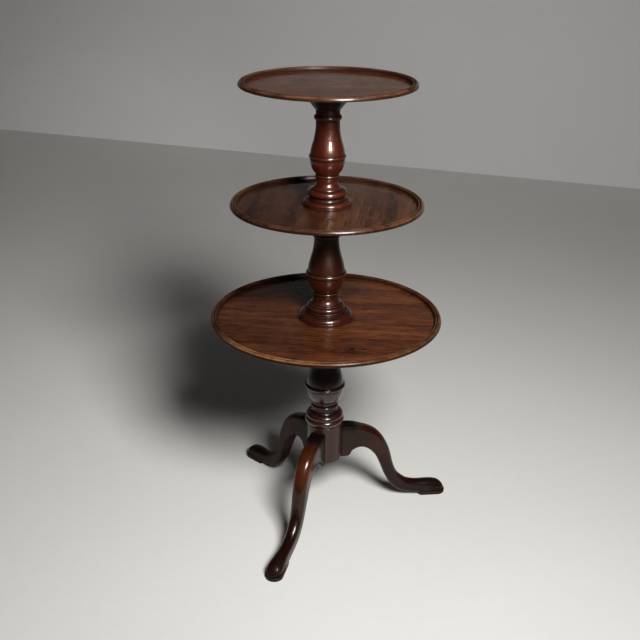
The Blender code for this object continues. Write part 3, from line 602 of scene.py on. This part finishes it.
# The sector of the bottom tray's front rim painted pale, as rubbed wood and painted highlight
RUB_AND_HIGHLIGHT_AZIMUTH, RUB_AND_HIGHLIGHT_FULL, RUB_AND_HIGHLIGHT_END = radians(-101), radians(17), radians(36)
VIEW = radians(TABLE_TURN)


def bottom_marks(s, base, colour):
    """The knot and the spot in the bottom tray, each a dark core within a ring."""
    uneven = s.stretch(s.noise(base, 160.0, 2.0), 0.3, 0.7, -0.0018, 0.0018)
    for (x, y), core, halo, dark in KNOTS:
        away = s.plus(s.vector("DISTANCE", s.coords, (x, y, DISH_FLOOR)), uneven)
        spot = s.stretch(away, core, core + 0.003, dark, 0.0, True)
        ring = s.times(s.stretch(away, halo - 0.004, halo, 0.0, 0.45, True),
                       s.stretch(away, halo, halo + 0.005, 1.0, 0.0, True))
        colour = s.mix(s.math("MAXIMUM", spot, ring), colour, KNOT_BROWN)
    return colour


def base_ring(radius):
    """A dark ring on the tray round the foot of the pillar section that stands on it."""
    def marks(s, base, colour):
        x, y = s.split(s.coords)[:2]
        away = s.math("SQRT", s.plus(s.math("POWER", x, 2.0), s.math("POWER", y, 2.0)))
        away = s.plus(away, s.stretch(s.noise(base, 60.0, 3.0), 0.3, 0.7, -0.002, 0.002))
        ring = s.stretch(away, radius, radius + 0.011, 0.75, 0.0, True)
        return s.mix(ring, colour, BASE_RING_BROWN)
    return marks


def rubbed_and_highlit_front(s, base, colour):
    """The front of the bottom tray's rim painted pale, as polish rubbed back and a painted
    highlight.
    """
    x, y = s.split(s.coords)[:2]
    off = s.math("ABSOLUTE", s.minus(s.math("ARCTAN2", y, x), RUB_AND_HIGHLIGHT_AZIMUTH))
    sector = s.stretch(off, RUB_AND_HIGHLIGHT_FULL, RUB_AND_HIGHLIGHT_END, 1.0, 0.0, True)
    lines = s.stretch(s.noise(base, 55.0, 4.0, 0.65), 0.36, 0.58, 0.25, 1.0)
    on_rim = s.stretch(s.attribute("wear"), 0.15, 0.75, 0.0, 1.0)
    amount = s.times(s.times(sector, lines), on_rim, True)
    return s.mix(amount, colour, PALE_RUB_AND_HIGHLIGHT)


def painted_side_light(s, base, colour):
    """Painted light and shade: one side of the tray painted paler, the other side darker."""
    across = s.vector("DOT_PRODUCT", s.coords, (cos(VIEW), sin(VIEW), 0))
    share = s.stretch(across, -0.13, 0.15, 0.0, 1.0, True)
    colour = s.mix(s.minus(1.0, share), colour, PAINTED_SHADE_TINT, "MULTIPLY")
    return s.mix(share, colour, PAINTED_LIGHT_TINT, "MULTIPLY")


def worn_and_lit_knee(s, base, colour):
    """A leg's knee painted red, as polish worn thin and as painted light where the lamp falls."""
    patchy = s.stretch(s.noise(base, 30.0, 2.0), 0.3, 0.7, 0.6, 1.0)
    return s.mix(s.times(s.attribute("knee_wear_and_light"), patchy), colour, KNEE_WORN_AND_LIT_RED)


def together(*makers):
    """Several makers of marks as one, in that order."""
    def marks(s, base, colour):
        for maker in makers:
            colour = maker(s, base, colour)
        return colour
    return marks


TRAY_WEAR = dict(worn=RUBBED_TAN, wear_share=0.8)
TURNED = dict(upright=True, wear_share=0.35, waves=0.08, contrast=0.5)
TURNED_IN_LIGHT = dict(TURNED, gloss=0.36, coat=1.0, shine=0.55, tint=(1.0, 0.56, 0.44))
MATERIALS = {
    "bottom_tray": wood(
        "bottom_tray_wood", TRAY, 2.2, 26.0, VIEW - 0.10, (0.31, 0.12, 0.05), gloss=0.27,
        coat=0.22, coat_roughness=0.13, waves=0.06, contrast=1.3, tint=(1.0, 0.74, 0.50),
        marks=together(painted_side_light, base_ring(radius=0.064), bottom_marks, rubbed_and_highlit_front),
        **TRAY_WEAR),
    "middle_tray": wood(
        "middle_tray_wood", GREYED, 2.0, 30.0, VIEW + radians(84), (0.77, 0.45, 0.15), gloss=0.19,
        coat=0.4, coat_roughness=0.07, waves=0.25, contrast=1.15,
        marks=together(painted_side_light, base_ring(radius=0.055)), **TRAY_WEAR),
    "top_tray": wood(
        "top_tray_wood", TRAY, 2.4, 30.0, VIEW + 0.04, (0.13, 0.93, 0.35), gloss=0.22,
        waves=0.25, contrast=0.75, **TRAY_WEAR),
    "upper_pillar": wood(
        "pillar_wood_polished", DEEP, 1.8, 18.0, 0.4, (0.2, 0.6, 0.4), **TURNED_IN_LIGHT),
    "middle_pillar": wood(
        "pillar_wood_shaded", DUSK_RED, 1.8, 18.0, 2.1, (0.5, 0.3, 0.6), **TURNED_IN_LIGHT),
    "lower_pillar": wood(
        "pillar_wood_dark", DUSKY, 1.8, 18.0, 0.9, (0.7, 0.1, 0.9), gloss=0.28, coat=0.9,
        coat_roughness=0.10, **TURNED),
    "leg": wood(
        "leg_wood_polished", DULL, 3.0, 34.0, 0.0, (0.5, 0.2, 0.8), gloss=0.28, coat=0.42,
        coat_roughness=0.09, wear_share=0.2, waves=0.15, shine=0.16, marks=worn_and_lit_knee),
    "shoe": wood(
        "shoe_wood_dark", DULL, 4.0, 40.0, 0.0, (0.9, 0.3, 0.1), gloss=0.5, coat=0.1,
        coat_roughness=0.4, wear_share=0.3),
    "iron": metal("forged_iron", (0.030, 0.028, 0.027), (0.060, 0.030, 0.018), 0.62, 0.75, 90.0),
    "screw": metal(
        "aged_screw_steel", (0.120, 0.105, 0.085), (0.070, 0.040, 0.024), 0.45, 0.9, 400.0),
}


def dress(piece, body, material, slot, *nodes):
    """Gives a piece its material, its body, and the nodes that it takes the place of; slot is not
    used.
    """
    piece.data.materials.clear()
    piece.data.materials.append(MATERIALS[material])
    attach(piece, body)
    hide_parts(*nodes)


# -------- trays and hubs

def tray_section(radius, thickness, bored):
    """The outline of a tray, from the middle of its dish round the rim to the underside."""
    dish = thickness - DISH_DEPTH
    bead_foot = thickness - RIM_BEAD_DEPTH
    inner = BORE_RADIUS if bored else 0
    points = [(inner, dish)]
    for out, down in reversed(COVE):
        points.append((radius - RIM_WIDTH * out, bead_foot + (dish - bead_foot) * down))
    for out, down in reversed(BEAD[1:-1]):
        points.append((radius - RIM_WIDTH * out, thickness - RIM_BEAD_DEPTH * down))
    for out, down in reversed(ROLL[1:]):
        points.append((radius - RIM_WIDTH * out, thickness - (thickness - EDGE_DEPTH) * down))
    for out, down in UNDERCUT:
        points.append((radius - EDGE_UNDERCUT * out, EDGE_DEPTH * (1 - down)))
    return points + [(inner, 0)]


def make_tray(label, bored):
    """A dished tray, with the wax, painted shade, wear and dullness of its rim noted."""
    node = label + "_tray"
    low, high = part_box(node)
    radius = (high.x - low.x) / 2
    outline = spaced(eased(tray_section(radius, high.z - low.z, bored), 0.8 * MM))
    mesh = lathe(node + "_dished", outline, TRAY_SEGMENTS, bored, 0.9 * MM)
    dark, worn, dull = [], [], []
    for vertex, wear in zip(mesh.vertices, mesh.attributes["wear"].data):
        reach = Vector(vertex.co.xy).length
        share = (radius - reach) / RIM_WIDTH
        under_edge = share < OUTER_SHARE and vertex.co.z < EDGE_DEPTH + 0.4 * MM
        # The underside of the edge is painted fully dark, as shade
        dark.append(1 if under_edge else np.interp(share, *RIM_DARK))
        worn.append(0 if under_edge else max(wear.value, np.interp(share, *RIM_WORN)))
        dullest = 1 if reach < radius - OUTER_ROLL else OUTER_DULLNESS
        dull.append(clamped((reach - radius + RIM_WIDTH + MM) / MM, high=dullest))
    for name, values in (("edge", dark), ("wear", worn), ("rim", dull)):
        add_attribute(mesh, name, values)
    tray = new_object(node + "_dished", mesh, (0, AXIS_Y, low.z))
    dress(tray, label + "_tier", node, "tray_wood", node)


def make_hub(label, neck_radius, bored):
    """The flared collar under a tray, recessed from below for its screws."""
    node = label + "_tray_hub"
    low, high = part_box(node)
    edge, height = (high.x - low.x) / 2, high.z - low.z
    points = [(BORE_RADIUS if bored else 0, height), (edge, height)]
    points += [(neck_radius + (edge - neck_radius) * out, (height - HUB_EDGE) * up)
               for out, up in FLARE]
    points.append((BORE_RADIUS, 0))
    if not bored:
        points += [(BORE_RADIUS, height - HUB_CROWN), (0, height - HUB_CROWN)]
    outline = spaced(eased(points, 0.8 * MM, radians(4)), widest=4 * MM)
    # The whole hub is painted dark, as shade under its tray
    mesh = lathe(node + "_turned", outline, PILLAR_SEGMENTS, bored, shade_span=ALL_IN_SHADE)
    hub = new_object(node + "_turned", mesh, (0, AXIS_Y, low.z))
    head, seat = SCREW_HEAD + FIT_CLEARANCE, height - SCREW_SEAT
    recess = [Vector(point) for point in ((0, seat), (head, seat), (head, -MM), (0, -MM))]
    circle = edge - SCREW_INSET
    for number in range(HUB_SCREWS):
        angle = 2 * pi * (number + 1 / 2) / HUB_SCREWS
        place = (circle * cos(angle), AXIS_Y + circle * sin(angle), low.z)
        cut(hub, new_object("recess", lathe("recess", recess, SMALL_SEGMENTS), place))
    apply_modifiers(hub)
    smooth(hub.data)
    dress(hub, label + "_tier", "lower_pillar", "pillar_wood", node)


def make_tier(label, neck_radius, bored, screw):
    """A tray, the hub under it and the screws between them."""
    make_tray(label, bored)
    make_hub(label, neck_radius, bored)
    for number in range(HUB_SCREWS):
        node = f"{label}_hub_screw_{number + 1}"
        piece = fastener(node, "_slotted", screw, SCREW_HEAD_HEIGHT, 0.7 * number)
        dress(piece, label + "_tier", "screw", "screw_metal", node)


def fastener_outline(length, shank, head, rim, head_height):
    """A shank with a blunt point upwards, on a head that narrows to that rim."""
    return [(0, length), (shank / 2, length), (shank, length - 2 * shank), (shank, 0), (head, 0),
            (rim, -head_height), (0, -head_height)]


def fastener(node, ending, mesh, head_height, turn):
    """A screw or nail with its head down, in the place of its node."""
    low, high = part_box(node)
    centre = (low + high) / 2
    return new_object(node + ending, mesh, (centre.x, centre.y, low.z + head_height), turn)


def screw_form():
    """A flat-headed wood screw pointing up, with a slot across its head."""
    length = SCREW_BITE + SCREW_SEAT + 2 * SEAT_GAP
    outline = fastener_outline(length, SCREW_RADIUS, SCREW_HEAD, SCREW_HEAD, SCREW_HEAD_HEIGHT)
    mesh = lathe("screw_form", eased(outline, 0.3 * MM), SMALL_SEGMENTS)
    screw = new_object("screw_form", mesh)
    half = SLOT_WIDTH / 2
    corners = [(-SLOT_REACH, -half), (SLOT_REACH, -half), (SLOT_REACH, half), (-SLOT_REACH, half)]
    slot = prism("slot", corners, -SCREW_HEAD_HEIGHT - MM, -SCREW_HEAD_HEIGHT + SLOT_DEPTH)
    cut(screw, new_object("slot", slot))
    return kept_mesh(screw)


# -------- pillar

def vase_points(which, bottom, top):
    """The outline of a section's neck and vase between two heights."""
    belly = BELLY[which] / 2
    rows = [(up, NECK[which] + share, *swell) for up, share, *swell in NECK_ROWS]
    rows += VASES[which]
    return follow_arcs([(belly * share, bottom + (top - bottom) * up, *swell)
                        for up, share, *swell in rows])


def shoulder_under(label):
    """The height of the shoulder on which a tray's hub runs."""
    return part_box(label + "_tray_hub")[0].z - RUNNING_GAP


def journal_end(label):
    """The height at which the journal through a bored tray ends, a little over its dish."""
    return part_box(label + "_tray")[1].z - DISH_DEPTH + RUNNING_GAP


def make_section(which, carried):
    """The middle or upper section, from its journal down to the moulded base and its socket."""
    node = which + "_pillar"
    low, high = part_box(node)
    shoulder, top = shoulder_under(carried) - low.z, high.z - low.z
    points = [(0, top)]
    if which == "middle":
        end = journal_end(carried) - low.z
        points += [(TENON_RADIUS, top), (TENON_RADIUS, end), (JOURNAL_RADIUS, end)]
    else:
        points.append((JOURNAL_RADIUS, top))
    points.append((JOURNAL_RADIUS, shoulder))
    points += vase_points(which, 0, shoulder)
    socket = TENON_RADIUS + FIT_CLEARANCE
    points += [(socket, 0), (socket, SOCKET_DEPTH), (0, SOCKET_DEPTH)]
    outline = spaced(eased(points, 0.7 * MM), widest=4 * MM)
    shade_span = [shoulder * share for share in UNDER_TRAY_SHADE[which]]
    mesh = lathe(node + "_turned", outline, PILLAR_SEGMENTS, reach=2.6 * MM, shade_span=shade_span)
    piece = new_object(node + "_turned", mesh, (0, AXIS_Y, low.z))
    dress(piece, "base", node, "pillar_wood", node)


def tail_shape(clearance):
    """A leg's dovetail from above, or the socket for it with a clearance round it."""
    root, end = TAIL_ROOT / 2 + clearance, TAIL_END / 2 + clearance
    heart, mouth = SEAT_RADIUS - TAIL_LENGTH - clearance, SEAT_RADIUS + 2 * MM
    return [(heart, -end), (mouth, -root), (mouth, root), (heart, end)]


def make_lower():
    """The bottom section: vase, collar and the block with a seat for each leg."""
    low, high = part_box("lower_pillar")
    shoulder, end = shoulder_under("bottom"), journal_end("bottom")
    points = [(0, high.z), (TENON_RADIUS, high.z), (TENON_RADIUS, end), (JOURNAL_RADIUS, end),
              (JOURNAL_RADIUS, shoulder)]
    points += vase_points("lower", BLOCK_TOP, shoulder)
    points += [(BLOCK_RADIUS, BLOCK_TOP), (BLOCK_RADIUS, BLOCK_UNDERSIDE + MM),
               (BLOCK_RADIUS - MM, BLOCK_UNDERSIDE), (0, BLOCK_UNDERSIDE)]
    outline = spaced(eased(points, 0.7 * MM), widest=4 * MM)
    shade_span = [BLOCK_TOP + (shoulder - BLOCK_TOP) * share for share in UNDER_TRAY_SHADE["lower"]]
    mesh = lathe("lower_pillar_turned", outline, BLOCK_SEGMENTS, reach=2.6 * MM, shade_span=shade_span)
    add_attribute(mesh, "rim", [BLOCK_DULLNESS if v.co.z < BLOCK_TOP - MM else 0
                                for v in mesh.vertices])
    piece = new_object("lower_pillar_turned", mesh, (0, AXIS_Y, 0))
    below, out = BLOCK_UNDERSIDE - OVERRUN, BLOCK_RADIUS + OVERRUN
    seat = [(SEAT_RADIUS, -SEAT_HALF), (out, -SEAT_HALF),
            (out, SEAT_HALF), (SEAT_RADIUS, SEAT_HALF)]
    cutters = ((seat, LEG_HEIGHT + SEAT_MARGIN),
               (tail_shape(FIT_CLEARANCE), LEG_HEIGHT - TAIL_BELOW_TOP + FIT_CLEARANCE))
    for azimuth in LEG_AZIMUTHS:
        for shape, top in cutters:
            cutter = prism("cutter", shape, below, top)
            cut(piece, new_object("cutter", cutter, (0, AXIS_Y, 0), azimuth))
    apply_modifiers(piece)
    smooth(piece.data)
    dress(piece, "base", "lower_pillar", "pillar_wood", "lower_pillar")


# -------- legs, shoes and iron

def between(rows, steps):
    """A smooth run through the rows of a table, with that many steps from each row to the next."""
    rows = np.array(rows, float)
    ends = np.concatenate([[2 * rows[0] - rows[1]], rows, [2 * rows[-1] - rows[-2]]])
    made = []
    for a, b, c, d in zip(ends, ends[1:], ends[2:], ends[3:]):
        for k in range(steps):
            t = k / steps
            made.append(0.5 * ((2 * b) + (c - a) * t + (2 * a - 5 * b + 4 * c - d) * t ** 2
                               + (3 * b - a - 3 * c + d) * t ** 3))
    made.append(rows[-1])
    return made


def leg_ring(station):
    """One ring of a leg, with its points' wear: from the middle of its belly up to its ridge."""
    ridge_out, ridge_up, belly_out, belly_up, width, crown_share, chamfer_share, flat = station
    inner = SEAT_RADIUS + SEAT_GAP
    reach = LEG_REACH - SHOE_TOE_MARGIN - inner
    under = SHOE_THICKNESS + SEAT_GAP
    ridge = Vector((inner + reach * ridge_out, under + (LEG_HEIGHT - under) * ridge_up))
    belly_rise = (BLOCK_UNDERSIDE - under) * max(belly_up, 0)
    belly = Vector((inner + reach * belly_out, under + belly_rise))
    height = (ridge - belly).length
    up = (ridge - belly) / height
    half = LEG_WIDTH * width / 2
    chamfer = min(LEG_WIDTH * chamfer_share, height / 4)
    crown = min(LEG_WIDTH * crown_share, height / 2)
    flat = clamped(flat, 0.05, 0.97)
    full_crown = crown / sqrt(1 - flat ** 2)
    section, notes = [], []
    for k in range(CHAMFER_STEPS + 1):
        angle = pi / 2 * k / CHAMFER_STEPS
        section.append((half - chamfer + chamfer * sin(angle), chamfer - chamfer * cos(angle)))
        notes.append(0.5 if k in (2, 3) and chamfer_share < 0.06 else 0.0)
    for share in (0.25, 0.5, 0.75):
        section.append((half, chamfer + (height - crown - chamfer) * share))
        notes.append(0.0)
    arris = clamped((flat - 0.2) / 0.4)
    for k in range(CROWN_STEPS + 1):
        angle = acos(flat) * k / CROWN_STEPS
        section.append((half * cos(angle), height - crown + full_crown * sin(angle)))
        notes.append(0.15 + arris * (0.7 if k > CROWN_STEPS - 2 else 0.0))
    section.append((half * flat / 3, height))
    notes.append(0.10)
    section += [(-side, rise) for side, rise in reversed(section)]
    notes += notes[::-1]
    ring = [(belly.x + up.x * rise, side, belly.y + up.y * rise) for side, rise in section]
    return ring, notes


def leg_form():
    """A leg with its dovetail, pointing along +X from the pillar's axis."""
    rings, wear = [], []
    for station in between(LEG_STATIONS, STATION_STEPS):
        ring, notes = leg_ring(station)
        rings.append(ring)
        wear += notes
    mesh = loft("leg_form", rings)
    add_attribute(mesh, "wear", wear + [0, 0])
    wax_and_painted_shade, knee_wear_and_light = [], []
    for v in mesh.vertices:
        near_block = max(0.0, 1 - (v.co.x - SEAT_RADIUS) / (7 * MM))
        near_shoe = max(0.0, 1 - (v.co.z - SHOE_THICKNESS) / (3 * MM))
        on_top = v.co.z > LEG_HEIGHT - FLAT_DEPTH
        # The flat top by the block is painted dark, as shade and a dark reflection
        on_flat = clamped((FLAT_END - v.co.x) / FLAT_FADE) if on_top else 0
        wax_and_painted_shade.append(max(near_block * 0.8, near_shoe, on_flat * FLAT_SHADE))
        # The knee painted red, as worn polish and painted light
        knee_wear_and_light.append(clamped(1 - abs(v.co.x - KNEE_OUT) / KNEE_REACH)
                    * clamped((v.co.z - KNEE_UP) / KNEE_FADE))
    add_attribute(mesh, "wax_and_painted_shade", wax_and_painted_shade)
    add_attribute(mesh, "knee_wear_and_light", knee_wear_and_light)
    leg = new_object("leg_form", mesh)
    tail = prism("tail", tail_shape(0), BLOCK_UNDERSIDE, LEG_HEIGHT - TAIL_BELOW_TOP)
    cut(leg, new_object("tail", tail), "UNION")
    return kept_mesh(leg, 50)


def shoe_form():
    """The pad under a foot, round at the toe and sloped at the heel."""
    half, heel = SHOE_WIDTH / 2, SHOE_BACK_WIDTH / 2
    centre, back = LEG_REACH - half, LEG_REACH - SHOE_LENGTH
    steps = 32
    angles = [pi * (k / steps - 1 / 2) for k in range(steps + 1)]
    toe = [(centre + half * cos(a), half * sin(a)) for a in angles]
    bottom = [(back + SHOE_BACK_SLOPE, heel), (back + SHOE_BACK_SLOPE, -heel)]
    top = [(back, heel), (back, -heel)]
    rings = [[(x, y, z) for x, y in toe + ends]
             for ends, z in ((bottom, 0), (top, SHOE_THICKNESS))]
    shoe = new_object("shoe_form", loft("shoe_form", rings))
    bevel(shoe, 0.9 * MM, 3)
    mesh = kept_mesh(shoe)
    wear = [1.0 if v.co.z > SHOE_THICKNESS - 1.2 * MM and abs(v.co.y) > 9 * MM else 0.0
            for v in mesh.vertices]
    add_attribute(mesh, "wear", wear)
    add_attribute(mesh, "wax_and_painted_shade", [0.6 if v.co.z < 2 * MM else 0.0 for v in mesh.vertices])
    return mesh


def make_legs():
    """The three legs and their shoes. The front knee is worn and painted lit, the left leg
    dullest.
    """
    leg, shoe = leg_form(), shoe_form()
    styles = zip(LEG_AZIMUTHS, KNEE_WEAR_AND_LIGHT, LEG_DULLNESS)
    for number, (azimuth, knee_light_share, dullness) in enumerate(styles, 1):
        form = leg.copy()
        knee_wear_and_light = np.zeros(len(form.vertices), np.float32)
        form.attributes["knee_wear_and_light"].data.foreach_get("value", knee_wear_and_light)
        add_attribute(form, "knee_wear_and_light", knee_wear_and_light * knee_light_share)
        toes = [clamped((v.co.x - TOE_OUT) / TOE_FADE, high=TOE_DULLNESS) for v in form.vertices]
        add_attribute(form, "rim", [max(dullness, toe) for toe in toes])
        piece = new_object(f"leg_{number}_cabriole", form, (0, AXIS_Y, 0), azimuth)
        dress(piece, "base", "leg", "leg_wood", f"leg_{number}")
        piece = new_object(f"foot_shoe_{number}_pad", shoe.copy(), (0, AXIS_Y, 0), azimuth)
        dress(piece, "base", "shoe", "shoe_wood", f"foot_shoe_{number}")


def make_iron():
    """The plate under the block, with an arm under each leg, and its nails."""
    half = IRON_ARM / 2
    top = BLOCK_UNDERSIDE - SEAT_GAP
    arm = ((IRON_REACH - IRON_TIP, -half), (IRON_REACH, IRON_TIP - half),
           (IRON_REACH, half - IRON_TIP), (IRON_REACH - IRON_TIP, half))
    outline = []
    for number, azimuth in enumerate(LEG_AZIMUTHS):
        opening = (azimuth - LEG_AZIMUTHS[number - 1]) % (2 * pi)
        crotch, toward = half / sin(opening / 2), azimuth - opening / 2
        outline.append((crotch * cos(toward), crotch * sin(toward)))
        outline += [(out * cos(azimuth) - side * sin(azimuth),
                     out * sin(azimuth) + side * cos(azimuth)) for out, side in arm]
    plate = prism("leg_iron_forged", outline, top - IRON_THICKNESS, top)
    iron = new_object("leg_iron_forged", plate, (0, AXIS_Y, 0))
    bevel(iron, 0.6 * MM)
    apply_modifiers(iron)
    smooth(iron.data)
    dress(iron, "base", "iron", "iron", "leg_iron")
    points = fastener_outline(
        NAIL_LENGTH, NAIL_RADIUS, NAIL_HEAD, NAIL_HEAD - NAIL_HEAD_HEIGHT, NAIL_HEAD_HEIGHT)
    mesh = lathe("nail_form", eased(points, 0.4 * MM), NAIL_SEGMENTS)
    for number in range(1, NAILS + 1):
        node = f"leg_iron_nail_{number}"
        nail = fastener(node, "_head", mesh.copy(), NAIL_HEAD_HEIGHT, number)
        dress(nail, "base", "iron", "iron", node)


# -------- studio

LAMP_PLACE = (1.290, -1.564)


def aim(thing, target):
    away = Vector(target) - thing.location
    thing.rotation_mode = "QUATERNION"
    thing.rotation_quaternion = away.to_track_quat("-Z", "Y")


def add_light(name, place, target, wide, tall, power, spread):
    """A rectangular lamp that looks at its target, its spread in degrees."""
    data = bpy.data.lights.new(name, "AREA")
    data.shape = "RECTANGLE"
    data.size = wide
    data.size_y = tall
    data.energy = power
    data.spread = radians(spread)
    lamp = bpy.data.objects.new(name, data)
    bpy.context.scene.collection.objects.link(lamp)
    lamp.location = place
    aim(lamp, target)


def add_camera():
    """The camera, level with the photo's: turned about the table, then pitched and rolled."""
    data = bpy.data.cameras.new("camera")
    data.sensor_width = SENSOR
    data.lens = FOCAL / IMAGE_SIDE * SENSOR
    data.clip_end = 60
    camera = bpy.data.objects.new("camera", data)
    bpy.context.scene.collection.objects.link(camera)
    yaw, pitch, roll = radians(CAMERA_YAW), radians(CAMERA_PITCH), radians(CAMERA_ROLL)
    forward = Vector((sin(yaw) * cos(pitch), cos(yaw) * cos(pitch), -sin(pitch)))
    right = forward.cross(Vector((0, 0, 1))).normalized()
    up = right.cross(forward)
    right, up = cos(roll) * right + sin(roll) * up, -sin(roll) * right + cos(roll) * up
    turn = Matrix.Rotation(VIEW, 3, "Z")
    place = turn @ Vector((0, -CAMERA_BACK, CAMERA_HEIGHT)) + Vector((0, AXIS_Y, 0))
    matrix = Matrix((turn @ right, turn @ up, -(turn @ forward))).transposed().to_4x4()
    matrix.translation = place
    camera.matrix_world = matrix
    bpy.context.scene.camera = camera


def stage_material(name, colour, spots, tone):
    """Matt paint or paper with broad and fine unevenness of that strength."""
    s = Shade(name)
    broad = s.noise(s.coords, 1.3, 3.0, 0.5)
    fine = s.noise(s.coords, spots, 4.0, 0.6)
    shade = s.plus(s.stretch(broad, 0.3, 0.7, 1.0 - tone, 1.0 + tone),
                   s.stretch(fine, 0.3, 0.7, -tone / 2, tone / 2))
    tint = s.vector("SCALE", colour, scale=shade)
    relief = s.bump(fine, 0.0008, 0.5)
    return s.set(Base_Color=tint, Roughness=0.75, Normal=relief)


def stage_plane(name, corners, material):
    mesh = bpy.data.meshes.new(name)
    mesh.from_pydata(corners, [], [tuple(range(len(corners)))])
    plane = new_object(name, mesh)
    mesh.materials.append(material)


def add_studio():
    """The floor, the wall behind it, the lamps at the front right and a faint sky."""
    floor = stage_material("studio_floor", (0.79, 0.775, 0.735), 35.0, 0.02)
    wall = stage_material("studio_wall", (0.78, 0.77, 0.755), 12.0, 0.015)
    wall_y, wall_top, far = 3.458, 1.8, 9.0
    stage_plane("floor", [(-far, -far, 0), (far, -far, 0), (far, wall_y, 0), (-far, wall_y, 0)],
                floor)
    stage_plane("wall", [(-far, wall_y, 0), (far, wall_y, 0), (far, wall_y, wall_top),
                         (-far, wall_y, wall_top)], wall)
    add_light("softbox", (*LAMP_PLACE, 2.20), (-1.0, 1.2, 0.0),
              wide=0.80, tall=0.80, power=53.4, spread=120)
    add_light("softbox_skirt", (*LAMP_PLACE, 1.68), (0.0, 0.029, 1.05),
              wide=0.50, tall=0.36, power=0.6, spread=20)
    world = bpy.data.worlds.new("studio")
    bpy.context.scene.world = world
    world.use_nodes = True
    back = world.node_tree.nodes["Background"]
    back.inputs["Color"].default_value = (0.95, 0.97, 1.0, 1)
    back.inputs["Strength"].default_value = 0.0105
    bpy.context.scene.view_settings.view_transform = "Standard"


screw = screw_form()
make_lower()
make_section("middle", "middle")
make_section("upper", "top")
for label, below, bored in (("bottom", "lower", True), ("middle", "middle", True),
                            ("top", "upper", False)):
    make_tier(label, NECK[below] * BELLY[below] / 2, bored, screw)
make_legs()
make_iron()
add_camera()
add_studio()

bpy.context.view_layer.update()
